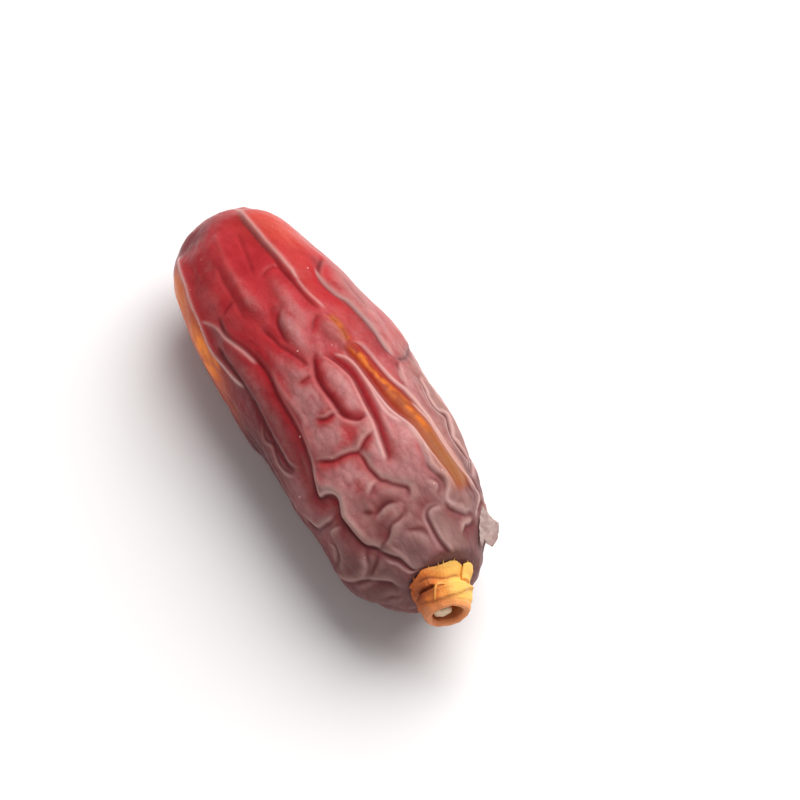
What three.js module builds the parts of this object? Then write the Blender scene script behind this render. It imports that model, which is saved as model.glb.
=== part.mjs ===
// A ripe, half dried date, lying on its side, with the dry cap still on its stalk end.
// Millimetres, +Z up. The fruit lies along X: blossom end at -X, stalk end at +X.
// It rests on z = 0, and the origin is in the middle of its flat spot.
import * as THREE from 'three';
import { mergeVertices } from 'three/addons/utils/BufferGeometryUtils.js';

// Size of the plain fruit, without its folds
const LENGTH = 52.0;
const HALF = LENGTH / 2;
const BREADTH_PLUS = 9.5; // from the axis to the +Y flank
const BREADTH_MINUS = 10.0; // from the axis to the -Y flank
const RISE = 9.3; // from the axis up to the back
const DROP = 9.5; // from the axis down to the belly
const AXIS_HEIGHT = 8.9; // the belly reaches a little below z = 0 and is pressed flat there

// Where each flank is widest along X, and how full it is towards its two ends
const FLANK_PLUS = { widest: 1.6, stalk: 2.2, blossom: 2.15 };
const FLANK_MINUS = { widest: -0.2, stalk: 3.9, blossom: 2.85 };

// The dry cap: its seat on the fruit, the way it points, and its radii
const SEAT = new THREE.Vector3(25.02, -2.06, 10.53);
const CAP_AXIS = new THREE.Vector3(0.945, -0.318, -0.07).normalize();
const CAP_LENGTH = 3.75;
const SCAR_RADIUS = 1.6;
const SEAT_GAP = 0.18;
const SEAT_RADIUS = 4.1; // the fruit is smooth under the cap out to here
const SEAT_EDGE = 5.2; // and is its own shape again from here
const SEAT_SLOPE = [-0.23, -0.30]; // the seat's rise across and above the cap's axis
const SLOPE_HEIGHT = 2.6; // the cap's pieces are level again at this height
const SCALE_THICKNESS = 0.62;

// Mesh of the fruit: rings along it, columns round it, most of them on the wrinkled back
const RINGS = 70;
const COLUMNS = 82;
const BACK_FROM = -105; // degrees round the fruit from straight up, + towards +Y
const BACK_TO = 85;
const BACK_SHARE = 0.7;
const MESH_WIDTH = 0.66; // a fold is at least this wide, so that the mesh can carry it

// Creases of the skin, each read along its line:
// [depth, half width, raised lip above it, raised lip below it, [[x, degrees round], ...]]
const CREASES = [
  // the long crease of the blossom half, and the small bulge that it ends at
  [0.26, 0.34, 0.34, 0.05, [[-22, 10], [-19, 7], [-16, 6], [-14, 6.5], [-12, 5.5], [-10, 6.5], [-7, 8],
    [-5, 10.5]]],
  [0.50, 0.34, 0.10, 0.18, [[-5, 10], [-4.5, 13], [-3, 15], [-2, 15.5], [-1, 14.5], [-0.3, 12.5],
    [0, 9]]],
  [0.42, 0.34, 0.08, 0.10, [[-4.9, 11], [-4.8, 6], [-4.4, 2], [-3.7, -1.5], [-3, -4]]],
  // the two edges of the amber seam
  [0.50, 0.40, 0.22, 0.00, [[-0.3, 13], [0.2, 18], [1, 20], [3, 21.5], [5, 23], [6, 25], [7, 28],
    [8, 29.5], [10, 33], [12, 35], [14, 36], [16, 38.5], [18, 43], [19, 47], [19.8, 50]]],
  [0.46, 0.38, 0.00, 0.16, [[-0.2, 9.5], [0.8, 8.7], [2, 10], [4, 10.5], [6, 11.5], [8, 13], [9.5, 16],
    [10.5, 19], [12, 21], [14, 21.5], [15, 23], [16.5, 25], [18, 26.5], [19.5, 28]]],
  // round the long island on the back
  [0.85, 0.50, 0.12, 0.20, [[-0.7, -6.5], [-0.3, -3], [0.5, -1], [2, 1.5], [3.5, 3], [5, 2], [7, 0.5],
    [9, -0.5], [10.5, -2.5], [11.5, -4], [13, -6], [13.5, -8], [13.6, -12]]],
  [0.85, 0.46, 0.16, 0.20, [[-0.9, -5], [-0.6, -10], [0.5, -13.5], [1.5, -15.5], [3, -16], [5, -15.5],
    [6.5, -15.5], [7.5, -12.5], [8.1, -8], [8, -4], [8.5, -0.5]]],
  // across the back, between the pillows
  [0.60, 0.38, 0.10, 0.15, [[6.5, -15], [6.1, -20], [6, -25], [5.5, -29], [5.2, -33]]],
  [0.40, 0.34, 0.06, 0.10, [[1.3, -15], [1, -19], [1, -24], [0.9, -29]]],
  [0.75, 0.42, 0.12, 0.18, [[9.8, -2], [10.2, -7], [10.4, -12], [11, -19], [10.6, -24], [10.3, -30],
    [10.1, -35], [9.5, -40], [9, -44], [8.8, -48]]],
  [0.70, 0.40, 0.16, 0.12, [[10.6, -23], [11, -20.5], [12, -19.5], [13, -20], [14, -19], [14.8, -18],
    [15.2, -15.5], [15.8, -13], [16.4, -9.5], [16.9, -6.5], [17.5, -8], [18, -12]]],
  [0.38, 0.30, 0.05, 0.10, [[14.8, -18], [15, -23], [15.4, -27], [15.8, -30]]],
  [0.75, 0.38, 0.18, 0.12, [[17.9, -13], [17.3, -19], [17.1, -24], [17.2, -30], [17.5, -38]]],
  [0.40, 0.30, 0.06, 0.06, [[17.3, -31], [16.8, -35], [16.1, -40]]],
  [0.42, 0.30, 0.08, 0.08, [[17.9, -14], [18.6, -15], [19, -18], [19.2, -24], [19.4, -29],
    [19.9, -35]]],
  [0.80, 0.42, 0.34, 0.05, [[8.3, -50], [10, -55], [11, -58], [11.8, -59], [12.2, -53], [12.8, -48.5],
    [13.5, -47], [14.3, -49.5], [15, -52.5], [16, -53], [18, -53], [19, -52], [19.6, -48.5],
    [20.3, -45], [20, -41], [19.9, -37]]],
  // the wide grooves along the -Y flank
  [0.75, 0.95, 0.30, 0.10, [[-12.2, -46], [-10, -49], [-8.5, -47.5], [-7, -44], [-5, -41], [-3, -39.5],
    [-1.5, -40], [0, -42], [2, -43], [4, -44], [6, -46], [8, -49], [10, -54.5], [11.5, -58.5]]],
  [0.38, 0.50, 0.10, 0.10, [[-11.9, -28], [-11.8, -36], [-11.5, -41], [-11, -47]]],
  [0.90, 0.85, 0.28, 0.12, [[-10, -61], [-7, -59], [-4, -58], [-1, -59], [1, -62], [3, -64], [5, -65],
    [6.5, -65], [8.2, -61.5]]],
  [0.40, 0.35, 0.10, 0.20, [[0.6, -62], [2.2, -69.5], [3.4, -66.5], [5.2, -71], [6.8, -68.5],
    [8, -62]]],
  // down the -Y flank of the stalk half
  [0.55, 0.42, 0.10, 0.15, [[14.5, -53], [14.6, -58], [14.5, -63], [14.2, -68], [13.9, -74],
    [13.5, -79], [12.5, -83], [10.5, -85]]],
  [0.42, 0.36, 0.10, 0.10, [[15.6, -69], [16.2, -71], [16.8, -74], [17.3, -78], [17.5, -83],
    [17.2, -92]]],
  [0.45, 0.38, 0.10, 0.10, [[20.3, -45], [20.8, -54], [21, -60], [21.2, -68], [21, -74], [20.5, -80],
    [19.8, -88]]],
  [0.35, 0.34, 0.08, 0.08, [[21.2, -10], [20.8, -18], [20.4, -24]]],
  // puckers of the stalk end
  [0.50, 0.36, 0.26, 0.05, [[19.9, 11], [19.8, 6], [19.7, 1], [19.9, -3.5], [20.6, -6], [21.8, -5.5],
    [23, -3.5], [24.2, -3]]],
  [0.75, 0.36, 0.24, 0.06, [[19.5, 12], [20.5, 14], [20.9, 18], [21.2, 22], [21.5, 30], [21.5, 38],
    [21.8, 44]]],
  [0.60, 0.34, 0.06, 0.18, [[21.8, 43], [22.3, 40], [22.6, 34], [22.6, 28], [22.9, 22], [23, 14]]],
  [0.50, 0.36, 0.10, 0.10, [[21.9, 43], [21, 54], [20.2, 62], [19.8, 70], [19.6, 80]]],
  [0.45, 0.32, 0.24, 0.06, [[12.4, 17.5], [15, 15], [16, 13.5], [17, 16.5], [18, 19.5], [18.7, 17.5],
    [19.5, 13.5]]],
  [0.38, 0.30, 0.08, 0.12, [[17, 4], [17.2, 11], [17.7, 15], [18.2, 15.5], [18.8, 12], [19.4, 8]]],
  // the +Y shoulder
  [0.55, 0.50, 0.34, 0.05, [[-12.3, 43], [-11, 33], [-10, 27.5], [-9, 25.5], [-7, 27], [-5.5, 31],
    [-3.5, 33], [-1, 35], [1, 35], [2.9, 37.5]]],
  [0.60, 0.36, 0.16, 0.14, [[2.9, 35], [2.9, 42], [2.6, 50], [2, 57], [1, 65], [0, 77]]],
  [0.35, 0.34, 0.16, 0.05, [[3, 43], [3.6, 37], [4.5, 34], [6, 31], [7.2, 29.5]]],
  [0.45, 0.38, 0.22, 0.06, [[4.6, 56], [5.5, 50], [7, 47.5], [8, 44.5], [9.4, 45.5], [10, 50],
    [10.4, 55], [12, 53], [13, 50.5], [14, 53.5], [15, 57], [16, 59], [17.3, 57]]],
  [0.80, 0.42, 0.20, 0.10, [[14.3, 82], [15, 72], [16, 64], [17, 58], [17.3, 51]]],
  // soft creases of the smooth blossom half
  [0.22, 0.60, 0.06, 0.06, [[-20, -2], [-17, -6.5], [-15, -9], [-12.6, -12.5]]],
  [0.22, 0.55, 0.06, 0.08, [[-17, -28], [-15, -30], [-12, -30.5], [-9, -32.5]]],
  [0.26, 0.45, 0.06, 0.10, [[-12, 6], [-12.8, 1], [-12.7, -4], [-12, -10.5]]],
  [0.36, 0.40, 0.18, 0.05, [[-8, -8], [-7.5, -11], [-6.5, -16], [-5, -18], [-3, -18]]],
  [0.45, 0.42, 0.12, 0.10, [[-7.5, -27], [-6.5, -26], [-5, -24], [-4, -23.5], [-3, -21], [-1.5, -18],
    [0.6, -15]]],
  [0.20, 0.28, 0.05, 0.05, [[-7.6, -38], [-6.3, -36.5], [-5.2, -33]]],
  // long folds of the far flank and the belly
  [0.70, 0.65, 0.25, 0.10, [[-21, 112], [-14, 106], [-8, 109], [-2, 103], [4, 99], [9, 102], [13, 98]]],
  [0.75, 0.60, 0.20, 0.15, [[0, 131], [4, 124], [8, 126], [12, 121], [17, 126], [21, 122],
    [23.5, 126]]],
  [0.60, 0.60, 0.15, 0.15, [[-22, 148], [-16, 141], [-10, 146], [-5, 139], [-1, 132]]],
  [0.50, 0.45, 0.10, 0.15, [[8, 127], [9.5, 136], [8.6, 146], [10, 156], [13, 163]]],
  [0.55, 0.45, 0.12, 0.12, [[15, 124], [15.6, 134], [17.5, 142], [17, 153], [19, 165]]],
  [0.60, 0.55, 0.15, 0.15, [[-19, 205], [-12, 211], [-6, 207], [0, 213], [6, 208], [11, 212]]],
  [0.70, 0.60, 0.20, 0.15, [[-14, 233], [-8, 228], [-2, 234], [4, 228], [9, 233], [13, 226],
    [17, 229]]],
  [0.60, 0.45, 0.12, 0.15, [[10, 212], [13, 206], [16, 211], [19, 205], [22, 212], [23.5, 208]]],
  [0.45, 0.40, 0.10, 0.10, [[4, 229], [5.5, 221], [5, 212]]],
  [0.50, 0.42, 0.12, 0.12, [[16.5, 230], [18, 238], [17.4, 247], [19, 255]]],
];

// Raised edges of the skin: [height, half width above, half width below, [[x, degrees round], ...]]
const RIDGES = [
  [0.42, 2.60, 0.42, [[-23.3, 26], [-21.5, 13.5], [-20, 11], [-18, 9.6], [-16, 8.6], [-13, 9.8],
    [-9.5, 11]]],
  [0.15, 0.55, 0.55, [[-24.8, 85], [-24.5, 60], [-24, 45], [-23.3, 30], [-22.3, 18]]],
  [0.30, 0.50, 0.34, [[-0.2, 0], [1, 5], [2.5, 7.6], [5, 7.6], [8, 6.4], [9, 4.5], [11, 2.6],
    [13, 1.5]]],
  [0.50, 0.60, 0.34, [[-23.2, -69], [-22.3, -64.5], [-21.5, -61], [-20, -58.7], [-18, -58],
    [-16, -60.2], [-14, -62], [-12, -64.5], [-10.5, -66.4], [-9, -66.4], [-7, -63.8], [-5, -61.5],
    [-3.4, -60]]],
  [0.26, 0.40, 0.60, [[-13.4, -62], [-12.2, -56], [-11, -52], [-9.5, -50.6], [-8, -47.6], [-6, -44],
    [-4, -42]]],
  [0.20, 0.70, 0.70, [[-21.5, -17], [-18, -21], [-14, -22.5], [-11, -24.5], [-8.5, -27]]],
  [0.28, 0.55, 0.40, [[-3, -34.5], [0, -37.5], [2.5, -36.5], [4.5, -36], [5.3, -39.5], [7, -41.5],
    [8.9, -43]]],
  [0.34, 0.55, 0.36, [[9.4, -47], [10.4, -50.5], [11.3, -50], [12.1, -45.5], [13.2, -43], [14.2, -44.5],
    [15.4, -48], [17, -48.5], [18.6, -47.5], [19.3, -44]]],
  [0.22, 0.40, 0.34, [[10, 19.5], [13, 19.8], [15, 18.6], [16, 16.8], [17, 19.8], [18, 22.4],
    [19, 20]]],
  // the loose scale of skin beside the stalk end
  [0.90, 1.00, 0.60, [[18.4, 63], [19.6, 66], [21, 67], [22.4, 67], [23.6, 65]]],
  [0.35, 0.80, 0.60, [[-23, 176], [-18, 171], [-13, 168]]],
  [0.40, 0.70, 0.90, [[-23, 250], [-17, 246], [-10, 249], [-4, 244], [2, 248]]],
];

// Puffed pillows between the creases:
// [height, x, degrees round, half length, half breadth, turn in degrees]
const PILLOWS = [
  [0.55, 3.7, -7.8, 4.3, 1.5, -2],
  [0.40, -2.4, 10.5, 2.2, 0.9, 4],
  [0.30, -5.4, -11, 2.6, 0.95, -5],
  [0.35, 3.6, -23.5, 2.4, 1.9, 0],
  [0.28, -1.6, -25, 2.4, 1.5, 10],
  [0.35, 7.7, -31, 1.9, 2.6, 0],
  [0.38, 13.2, -32, 2.6, 2.4, 0],
  [0.30, 10.9, -10, 2.2, 1.2, -15],
  [0.42, -5, 41, 6, 2.0, -6],
  [0.30, 7, 39, 3.6, 1.4, 20],
  [0.35, 9.6, 61, 4.6, 1.3, 4],
  [0.40, 13.5, 8.5, 3.4, 1.6, 0],
  [0.30, -16, 28, 6.0, 3.0, -4],
  [0.35, -15, -44, 4.5, 2.6, 4],
  [0.35, -4, -52, 6.5, 1.5, 2],
  [0.25, 8.6, -71, 4.5, 1.8, 0],
  [0.30, 16.8, -62, 2.2, 1.6, 0],
  [0.30, 20.2, 26, 1.6, 2.2, 0],
  [0.25, 22.6, 4, 1.6, 1.6, 0],
  // swellings and one dent of the outline
  [0.95, 19.3, -101, 3.6, 3.2, 0],
  [0.55, -2.6, 70, 4.2, 2.2, 0],
  [0.45, -20.8, 52, 3.6, 3.0, 0],
  [-0.35, -23, -38, 2.4, 3.2, 0],
  [0.30, -21, -86, 3.2, 2.6, 0],
];

// The smooth amber seam: height, half width at its two ends, and line of its cord
const SEAM_HEIGHT = 0.42;
const SEAM_START = 0.8;
const SEAM_END = 1.35;
const SEAM = [[-1.2, 12.5], [0.8, 14], [2.5, 15.2], [4, 16.2], [6, 18.4], [8, 21.5], [10, 25.5], [12, 28],
  [14, 29], [16, 31.5], [18, 35], [19.5, 39]];

const radians = THREE.MathUtils.degToRad;

function ramp(from, to, value) {
  return THREE.MathUtils.smoothstep(value, from, to);
}

// The plain fruit: a long body whose flanks are superellipses of their own

function fullness(x, flank) {
  const towardsStalk = x > flank.widest;
  const reach = towardsStalk ? HALF - flank.widest : HALF + flank.widest;
  const power = towardsStalk ? flank.stalk : flank.blossom;
  const s = Math.min(1, Math.abs(x - flank.widest) / reach);
  return (1 - s ** power) ** (1 / power);
}

function plainFruit(x, round) {
  const plus = fullness(x, FLANK_PLUS);
  const minus = fullness(x, FLANK_MINUS);
  const breadth = Math.sin(round) > 0 ? BREADTH_PLUS * plus : BREADTH_MINUS * minus;
  const height = (Math.cos(round) > 0 ? RISE : DROP) * (plus + minus) / 2;
  return new THREE.Vector3(x, breadth * Math.sin(round), AXIS_HEIGHT + height * Math.cos(round));
}

function outward(x, round) {
  const step = 0.02;
  const round1 = plainFruit(x, round + step / 10);
  const round0 = plainFruit(x, round - step / 10);
  const along1 = plainFruit(Math.min(HALF, x + step), round);
  const along0 = plainFruit(Math.max(-HALF, x - step), round);
  return along1.sub(along0).cross(round1.sub(round0)).normalize();
}

// Lines on the skin, and how far a point lies from them

const MM_PER_DEGREE = 0.165; // of the way round the fruit
const LINE_STEP = 0.35; // the longest straight piece of a line

function smoothLine(points) {
  const first = [2 * points[0][0] - points[1][0], 2 * points[0][1] - points[1][1]];
  const [last, before] = [points.at(-1), points.at(-2)];
  const ends = [first, ...points, [2 * last[0] - before[0], 2 * last[1] - before[1]]];
  const line = [];
  for (let i = 1; i < ends.length - 2; i += 1) {
    const [a, b, c, d] = ends.slice(i - 1, i + 3);
    const way = Math.hypot(c[0] - b[0], (c[1] - b[1]) * MM_PER_DEGREE);
    const steps = Math.max(2, Math.floor(way / LINE_STEP + 1));
    for (let k = 0; k < steps; k += 1) {
      const t = k / steps;
      line.push([0, 1].map((n) => {
        const bend = (2 * a[n] - 5 * b[n] + 4 * c[n] - d[n]) * t * t;
        return 0.5 * (2 * b[n] + (c[n] - a[n]) * t + bend + (3 * b[n] - a[n] - 3 * c[n] + d[n]) * t ** 3);
      }));
    }
  }
  line.push(last);
  return line.map(([x, round]) => plainFruit(THREE.MathUtils.clamp(x, -HALF, HALF), radians(round)));
}

function nearest(point, normal, line) {
  const best = { distance: Infinity, above: true, along: 0, length: 0 };
  const [ab, ap] = [new THREE.Vector3(), new THREE.Vector3()];
  for (let i = 0; i < line.length - 1; i += 1) {
    ab.subVectors(line[i + 1], line[i]);
    ap.subVectors(point, line[i]);
    const t = THREE.MathUtils.clamp(ap.dot(ab) / ab.lengthSq(), 0, 1);
    const off = ap.clone().addScaledVector(ab, -t);
    const distance = off.length();
    if (distance < best.distance) {
      best.distance = distance;
      best.above = ab.clone().cross(off).dot(normal) > 0;
      best.along = best.length + t * ab.length();
    }
    best.length += ab.length();
  }
  return best;
}

function taper({ along, length }, run) {
  const end = Math.min(run, length / 2.5);
  return ramp(0, end, along) * ramp(0, end, length - along);
}

const creaseLines = CREASES.map((crease) => smoothLine(crease[4]));
const ridgeLines = RIDGES.map((ridge) => smoothLine(ridge[3]));
const seamLine = smoothLine(SEAM);

// Seeded unevenness, the same on every run

function chance(i, j, k) {
  const value = Math.sin(i * 127.1 + j * 311.7 + k * 74.7) * 43758.5453;
  return value - Math.floor(value);
}

function ripple(point, size, shift) {
  const p = [point.x * 0.5 / size + shift, point.y / size + shift, point.z / size + shift];
  const cell = p.map(Math.floor);
  const f = p.map((value, n) => value - cell[n]).map((value) => value * value * (3 - 2 * value));
  let sum = 0;
  for (let corner = 0; corner < 8; corner += 1) {
    const [a, b, c] = [corner >> 2 & 1, corner >> 1 & 1, corner & 1];
    const weight = (a ? f[0] : 1 - f[0]) * (b ? f[1] : 1 - f[1]) * (c ? f[2] : 1 - f[2]);
    sum += weight * chance(cell[0] + a, cell[1] + b, cell[2] + c);
  }
  return sum - 0.5;
}

function waves(point) {
  return 0.34 * ripple(point, 3.1, 0) + 0.10 * ripple(point, 1.5, 7.7);
}

// Shallow net of creases on the far flank and the belly: the line midway between seeds of a jittered grid

const NET_CELL = [6.2, 4.2, 4.2];

function netCrease(point) {
  const p = point.toArray().map((value, n) => value / NET_CELL[n]);
  const cell = p.map(Math.floor);
  const found = [];
  for (let a = -1; a <= 1; a += 1) {
    for (let b = -1; b <= 1; b += 1) {
      for (let c = -1; c <= 1; c += 1) {
        const [i, j, k] = [cell[0] + a, cell[1] + b, cell[2] + c];
        const seed = [i + chance(i, j, k), j + chance(j, k, i), k + chance(k, i, j)];
        found.push(Math.hypot(seed[0] - p[0], seed[1] - p[1], seed[2] - p[2]));
      }
    }
  }
  found.sort((first, second) => first - second);
  return Math.exp(-(((found[1] - found[0]) / 0.24) ** 1.4));
}

function hiddenSide(round) {
  const degrees = THREE.MathUtils.euclideanModulo(THREE.MathUtils.radToDeg(round) + 180, 360) - 180;
  return 1 - ramp(-104, -90, degrees) * (1 - ramp(70, 84, degrees));
}

// The skin's height over the plain fruit

function pillow(point, normal, [height, x, degrees, length, breadth, turn]) {
  const centre = plainFruit(x, radians(degrees));
  const axis = plainFruit(x + 0.5, radians(degrees)).sub(plainFruit(x - 0.5, radians(degrees))).normalize();
  const off = point.clone().sub(centre);
  const u = off.dot(axis);
  const across = normal.clone().cross(axis).normalize();
  const v = Math.sqrt(Math.max(0, off.lengthSq() - u * u)) * Math.sign(off.dot(across));
  const [cos, sin] = [Math.cos(radians(turn)), Math.sin(radians(turn))];
  const k = ((u * cos + v * sin) / length) ** 2 + ((v * cos - u * sin) / breadth) ** 2;
  return height * Math.exp(-(k ** 1.3));
}

function relief(point, normal, round) {
  let deep = 0;
  let raised = 0;
  CREASES.forEach(([depth, halfWidth, lipAbove, lipBelow], n) => {
    const found = nearest(point, normal, creaseLines[n]);
    if (found.distance > 5 * halfWidth + 4) return;
    const lip = found.above ? lipAbove : lipBelow;
    const steep = lip / (lipAbove + lipBelow); // the side with the higher lip falls more steeply
    const width = Math.hypot(halfWidth * (1.5 - 0.9 * steep), MESH_WIDTH);
    const end = taper(found, 1.6);
    const near = Math.exp(-((found.distance / width) ** 2));
    const wide = Math.exp(-((found.distance / (2.4 * width)) ** 2));
    deep += (depth * end * (0.7 * near + 0.3 * wide)) ** 4;
    raised += 0.5 * lip * end * Math.exp(-(((found.distance - 1.8 * width) / width) ** 2));
  });
  RIDGES.forEach(([height, widthAbove, widthBelow], n) => {
    const found = nearest(point, normal, ridgeLines[n]);
    const width = Math.hypot(found.above ? widthAbove : widthBelow, MESH_WIDTH);
    raised += height * taper(found, 2) * Math.exp(-((found.distance / width) ** 1.7));
  });
  for (const row of PILLOWS) raised += pillow(point, normal, row);
  const seam = nearest(point, normal, seamLine);
  const seamWidth = THREE.MathUtils.lerp(SEAM_START, SEAM_END, seam.along / seam.length);
  raised += SEAM_HEIGHT * taper(seam, 2.5) * Math.exp(-((seam.distance / seamWidth) ** 2.6));
  const stalkHalf = ramp(-14, 6, point.x);
  const net = (0.18 + 0.30 * stalkHalf) * hiddenSide(round) * netCrease(point);
  return raised - deep ** 0.25 + waves(point) - net;
}

// The cap's own frame: across and above the cap's axis, which is its Z

const across = new THREE.Vector3(0, 0, 1).cross(CAP_AXIS).normalize();
const above = CAP_AXIS.clone().cross(across);
const capFrame = new THREE.Matrix4().makeBasis(across, above, CAP_AXIS).setPosition(SEAT);
const toCap = capFrame.clone().invert();

// The fruit's end is a smooth slope under the cap, and its belly is flat where it lies

function slope(x, y) {
  return SEAT_SLOPE[0] * x + SEAT_SLOPE[1] * y;
}

function onSeat(point) {
  const local = point.clone().applyMatrix4(toCap);
  const radius = Math.hypot(local.x, local.y);
  if (local.z < -6 || radius > SEAT_EDGE) return point;
  const seat = slope(local.x, local.y) - SEAT_GAP;
  local.z = THREE.MathUtils.lerp(seat, local.z, ramp(SEAT_RADIUS, SEAT_EDGE, radius));
  return local.applyMatrix4(capFrame);
}

function underCap(point) {
  const local = point.clone().applyMatrix4(toCap);
  return ramp(SEAT_RADIUS - 0.6, SEAT_EDGE, Math.hypot(local.x, local.y, Math.min(0, local.z + 3)));
}

// A point of the cap, whose foot follows the slope of its seat

function capPoint(x, y, z) {
  return new THREE.Vector3(x, y, z + slope(x, y) * Math.max(0, 1 - z / SLOPE_HEIGHT));
}

const FLAT_SPOT = { x: 13, y: 5 }; // no folds within this ellipse round the flat spot

function offFlatSpot(point) {
  if (point.z > AXIS_HEIGHT) return 1;
  return ramp(0.6, 1.3, Math.hypot(point.x / FLAT_SPOT.x, point.y / FLAT_SPOT.y));
}

const TIP_CALM = 2.4; // the folds fade within this distance of the blossom tip

function offTip(point) {
  return ramp(0.2, 1, Math.hypot(point.x + HALF, point.y, point.z - AXIS_HEIGHT) / TIP_CALM);
}

function skinPoint(x, round) {
  const plain = plainFruit(x, round);
  const normal = outward(x, round);
  const calm = underCap(plain) * offFlatSpot(plain) * offTip(plain);
  const height = relief(plain, normal, round) * calm;
  const point = onSeat(plain.addScaledVector(normal, height));
  point.z = Math.max(0, point.z);
  return point;
}

// Stations along the fruit at even steps of the way over its skin, from pole to pole

const MEAN_RADIUS = 9.45;

function evenStations(count) {
  const fine = 4000;
  const way = [0];
  const xs = [-HALF];
  const radius = (x) => MEAN_RADIUS * (fullness(x, FLANK_PLUS) + fullness(x, FLANK_MINUS)) / 2;
  for (let i = 1; i <= fine; i += 1) {
    xs.push(-HALF * Math.cos(Math.PI * i / fine));
    way.push(way[i - 1] + Math.hypot(xs[i] - xs[i - 1], radius(xs[i]) - radius(xs[i - 1])));
  }
  const stations = [];
  for (let i = 0, k = 0; i <= count; i += 1) {
    const target = way[fine] * i / count;
    while (k < fine - 1 && way[k + 1] < target) k += 1;
    const t = (target - way[k]) / (way[k + 1] - way[k]);
    stations.push(THREE.MathUtils.lerp(xs[k], xs[k + 1], t));
  }
  return stations;
}

function columnAngle(share) {
  if (share < BACK_SHARE) return radians(THREE.MathUtils.lerp(BACK_FROM, BACK_TO, share / BACK_SHARE));
  const rest = (share - BACK_SHARE) / (1 - BACK_SHARE);
  return radians(THREE.MathUtils.lerp(BACK_TO, BACK_FROM + 360, rest));
}

// Every mesh starts as a plain closed body, whose joined vertices are then moved to their places

function shaped(geometry, place) {
  geometry.deleteAttribute('uv');
  geometry.deleteAttribute('normal');
  const merged = mergeVertices(geometry, 1e-5);
  const position = merged.getAttribute('position');
  const vertex = new THREE.Vector3();
  for (let i = 0; i < position.count; i += 1) {
    vertex.fromBufferAttribute(position, i);
    position.setXYZ(i, ...place(vertex).toArray());
  }
  merged.computeVertexNormals();
  return merged;
}

function finish(color, roughness) {
  return new THREE.MeshStandardMaterial({ color, roughness, metalness: 0 });
}

const ripeSkin = finish(0x6e1f22, 0.35);
const straw = finish(0xd98b3a, 0.7);
const paleCore = finish(0xe9b88a, 0.8);

function fruit() {
  const stations = evenStations(RINGS); // each ring is turned by half a column, for even triangles
  const geometry = shaped(new THREE.SphereGeometry(1, COLUMNS, RINGS), ({ x, y, z }) => {
    const ring = Math.round(RINGS * Math.acos(THREE.MathUtils.clamp(y, -1, 1)) / Math.PI);
    const turn = THREE.MathUtils.euclideanModulo(Math.atan2(z, -x) / (2 * Math.PI), 1);
    const column = Math.round(turn * COLUMNS) % COLUMNS;
    const share = THREE.MathUtils.euclideanModulo((column - ring / 2) / COLUMNS, 1);
    return skinPoint(stations[ring], columnAngle(share));
  });
  const mesh = new THREE.Mesh(geometry, ripeSkin);
  mesh.name = 'fruit';
  return mesh;
}

// The core that held the fruit on its strand: a cone on the seat, its pale end inside the scar

const CORE_FOOT = 1.78;
const CORE_TIP = 0.95;
const CORE_LENGTH = 3.5;
const CORE_LEAN = [-0.45, 0]; // how far its tip leans, across and above

function receptacle() {
  const shoulder = 1.75;
  const neck = 2.05;
  const profile = [[0, 0.05], [CORE_FOOT, 0.05], [1.36, shoulder], [CORE_TIP + 0.05, neck],
    [CORE_TIP, CORE_LENGTH - 0.2], [CORE_TIP - 0.15, CORE_LENGTH - 0.05], [0, CORE_LENGTH]];
  const lathe = new THREE.LatheGeometry(profile.map(([r, t]) => new THREE.Vector2(r, t)), 20);
  const geometry = shaped(lathe, ({ x, y, z }) => {
    const lean = ramp(1.6, 2.8, y);
    return capPoint(z + CORE_LEAN[0] * lean, x + CORE_LEAN[1] * lean, y);
  });
  const mesh = new THREE.Mesh(geometry, paleCore);
  mesh.name = 'receptacle';
  return mesh;
}

// The outer cup of the cap, grown together from three sepals, with the round scar through its end

const CUP_FOOT = 1.4;
const LOWER_LIP = 0.12; // how much further the mouth's lower side reaches, for each mm below the axis

function calyx() {
  const outside = [[2.94, CUP_FOOT], [2.88, 1.75], [2.74, 2.2], [2.58, 2.8], [2.40, 3.35]];
  const end = [[2.18, CAP_LENGTH - 0.02], [SCAR_RADIUS + 0.15, CAP_LENGTH - 0.08], [SCAR_RADIUS, 3.45]];
  const inside = [[SCAR_RADIUS, 2.6], [1.75, 2.3], [2.16, 1.95], [2.34, CUP_FOOT]];
  const profile = [inside.at(-1), ...outside, ...end, ...inside];
  const lathe = new THREE.LatheGeometry(profile.map(([r, t]) => new THREE.Vector2(r, t)), 36);
  const geometry = shaped(lathe, ({ x, y, z }) => {
    const angle = Math.atan2(x, z);
    const low = 1 - ramp(CUP_FOOT, 2.4, y);
    const lobes = 0.16 * low * (1 + Math.cos(3 * angle)) * 0.5;
    const uneven = 1 + 0.025 * Math.sin(5 * angle + 1) + 0.015 * Math.sin(11 * angle);
    const lip = LOWER_LIP * x * ramp(2.6, 3.5, y);
    return capPoint(z * uneven, x * uneven, y + lobes - lip);
  });
  const mesh = new THREE.Mesh(geometry, straw);
  mesh.name = 'calyx';
  return mesh;
}

// Three petals round the foot of the cap: each has one margin under its neighbour and one over the next

const PETALS = 3;
const PETAL_TURN = 80; // degrees of the first petal's middle, from across towards above
const PETAL_SPAN = 78; // half of the arc that a petal covers at its foot
const PETAL_SPAN_TOP = 57;
const LIFT = SCALE_THICKNESS + 0.14;
const FOOT_FLARE = 0.35; // how much the petals spread towards the skin
const SIDE_FLARE = 0.28; // and how much more they spread on the -across side

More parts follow.
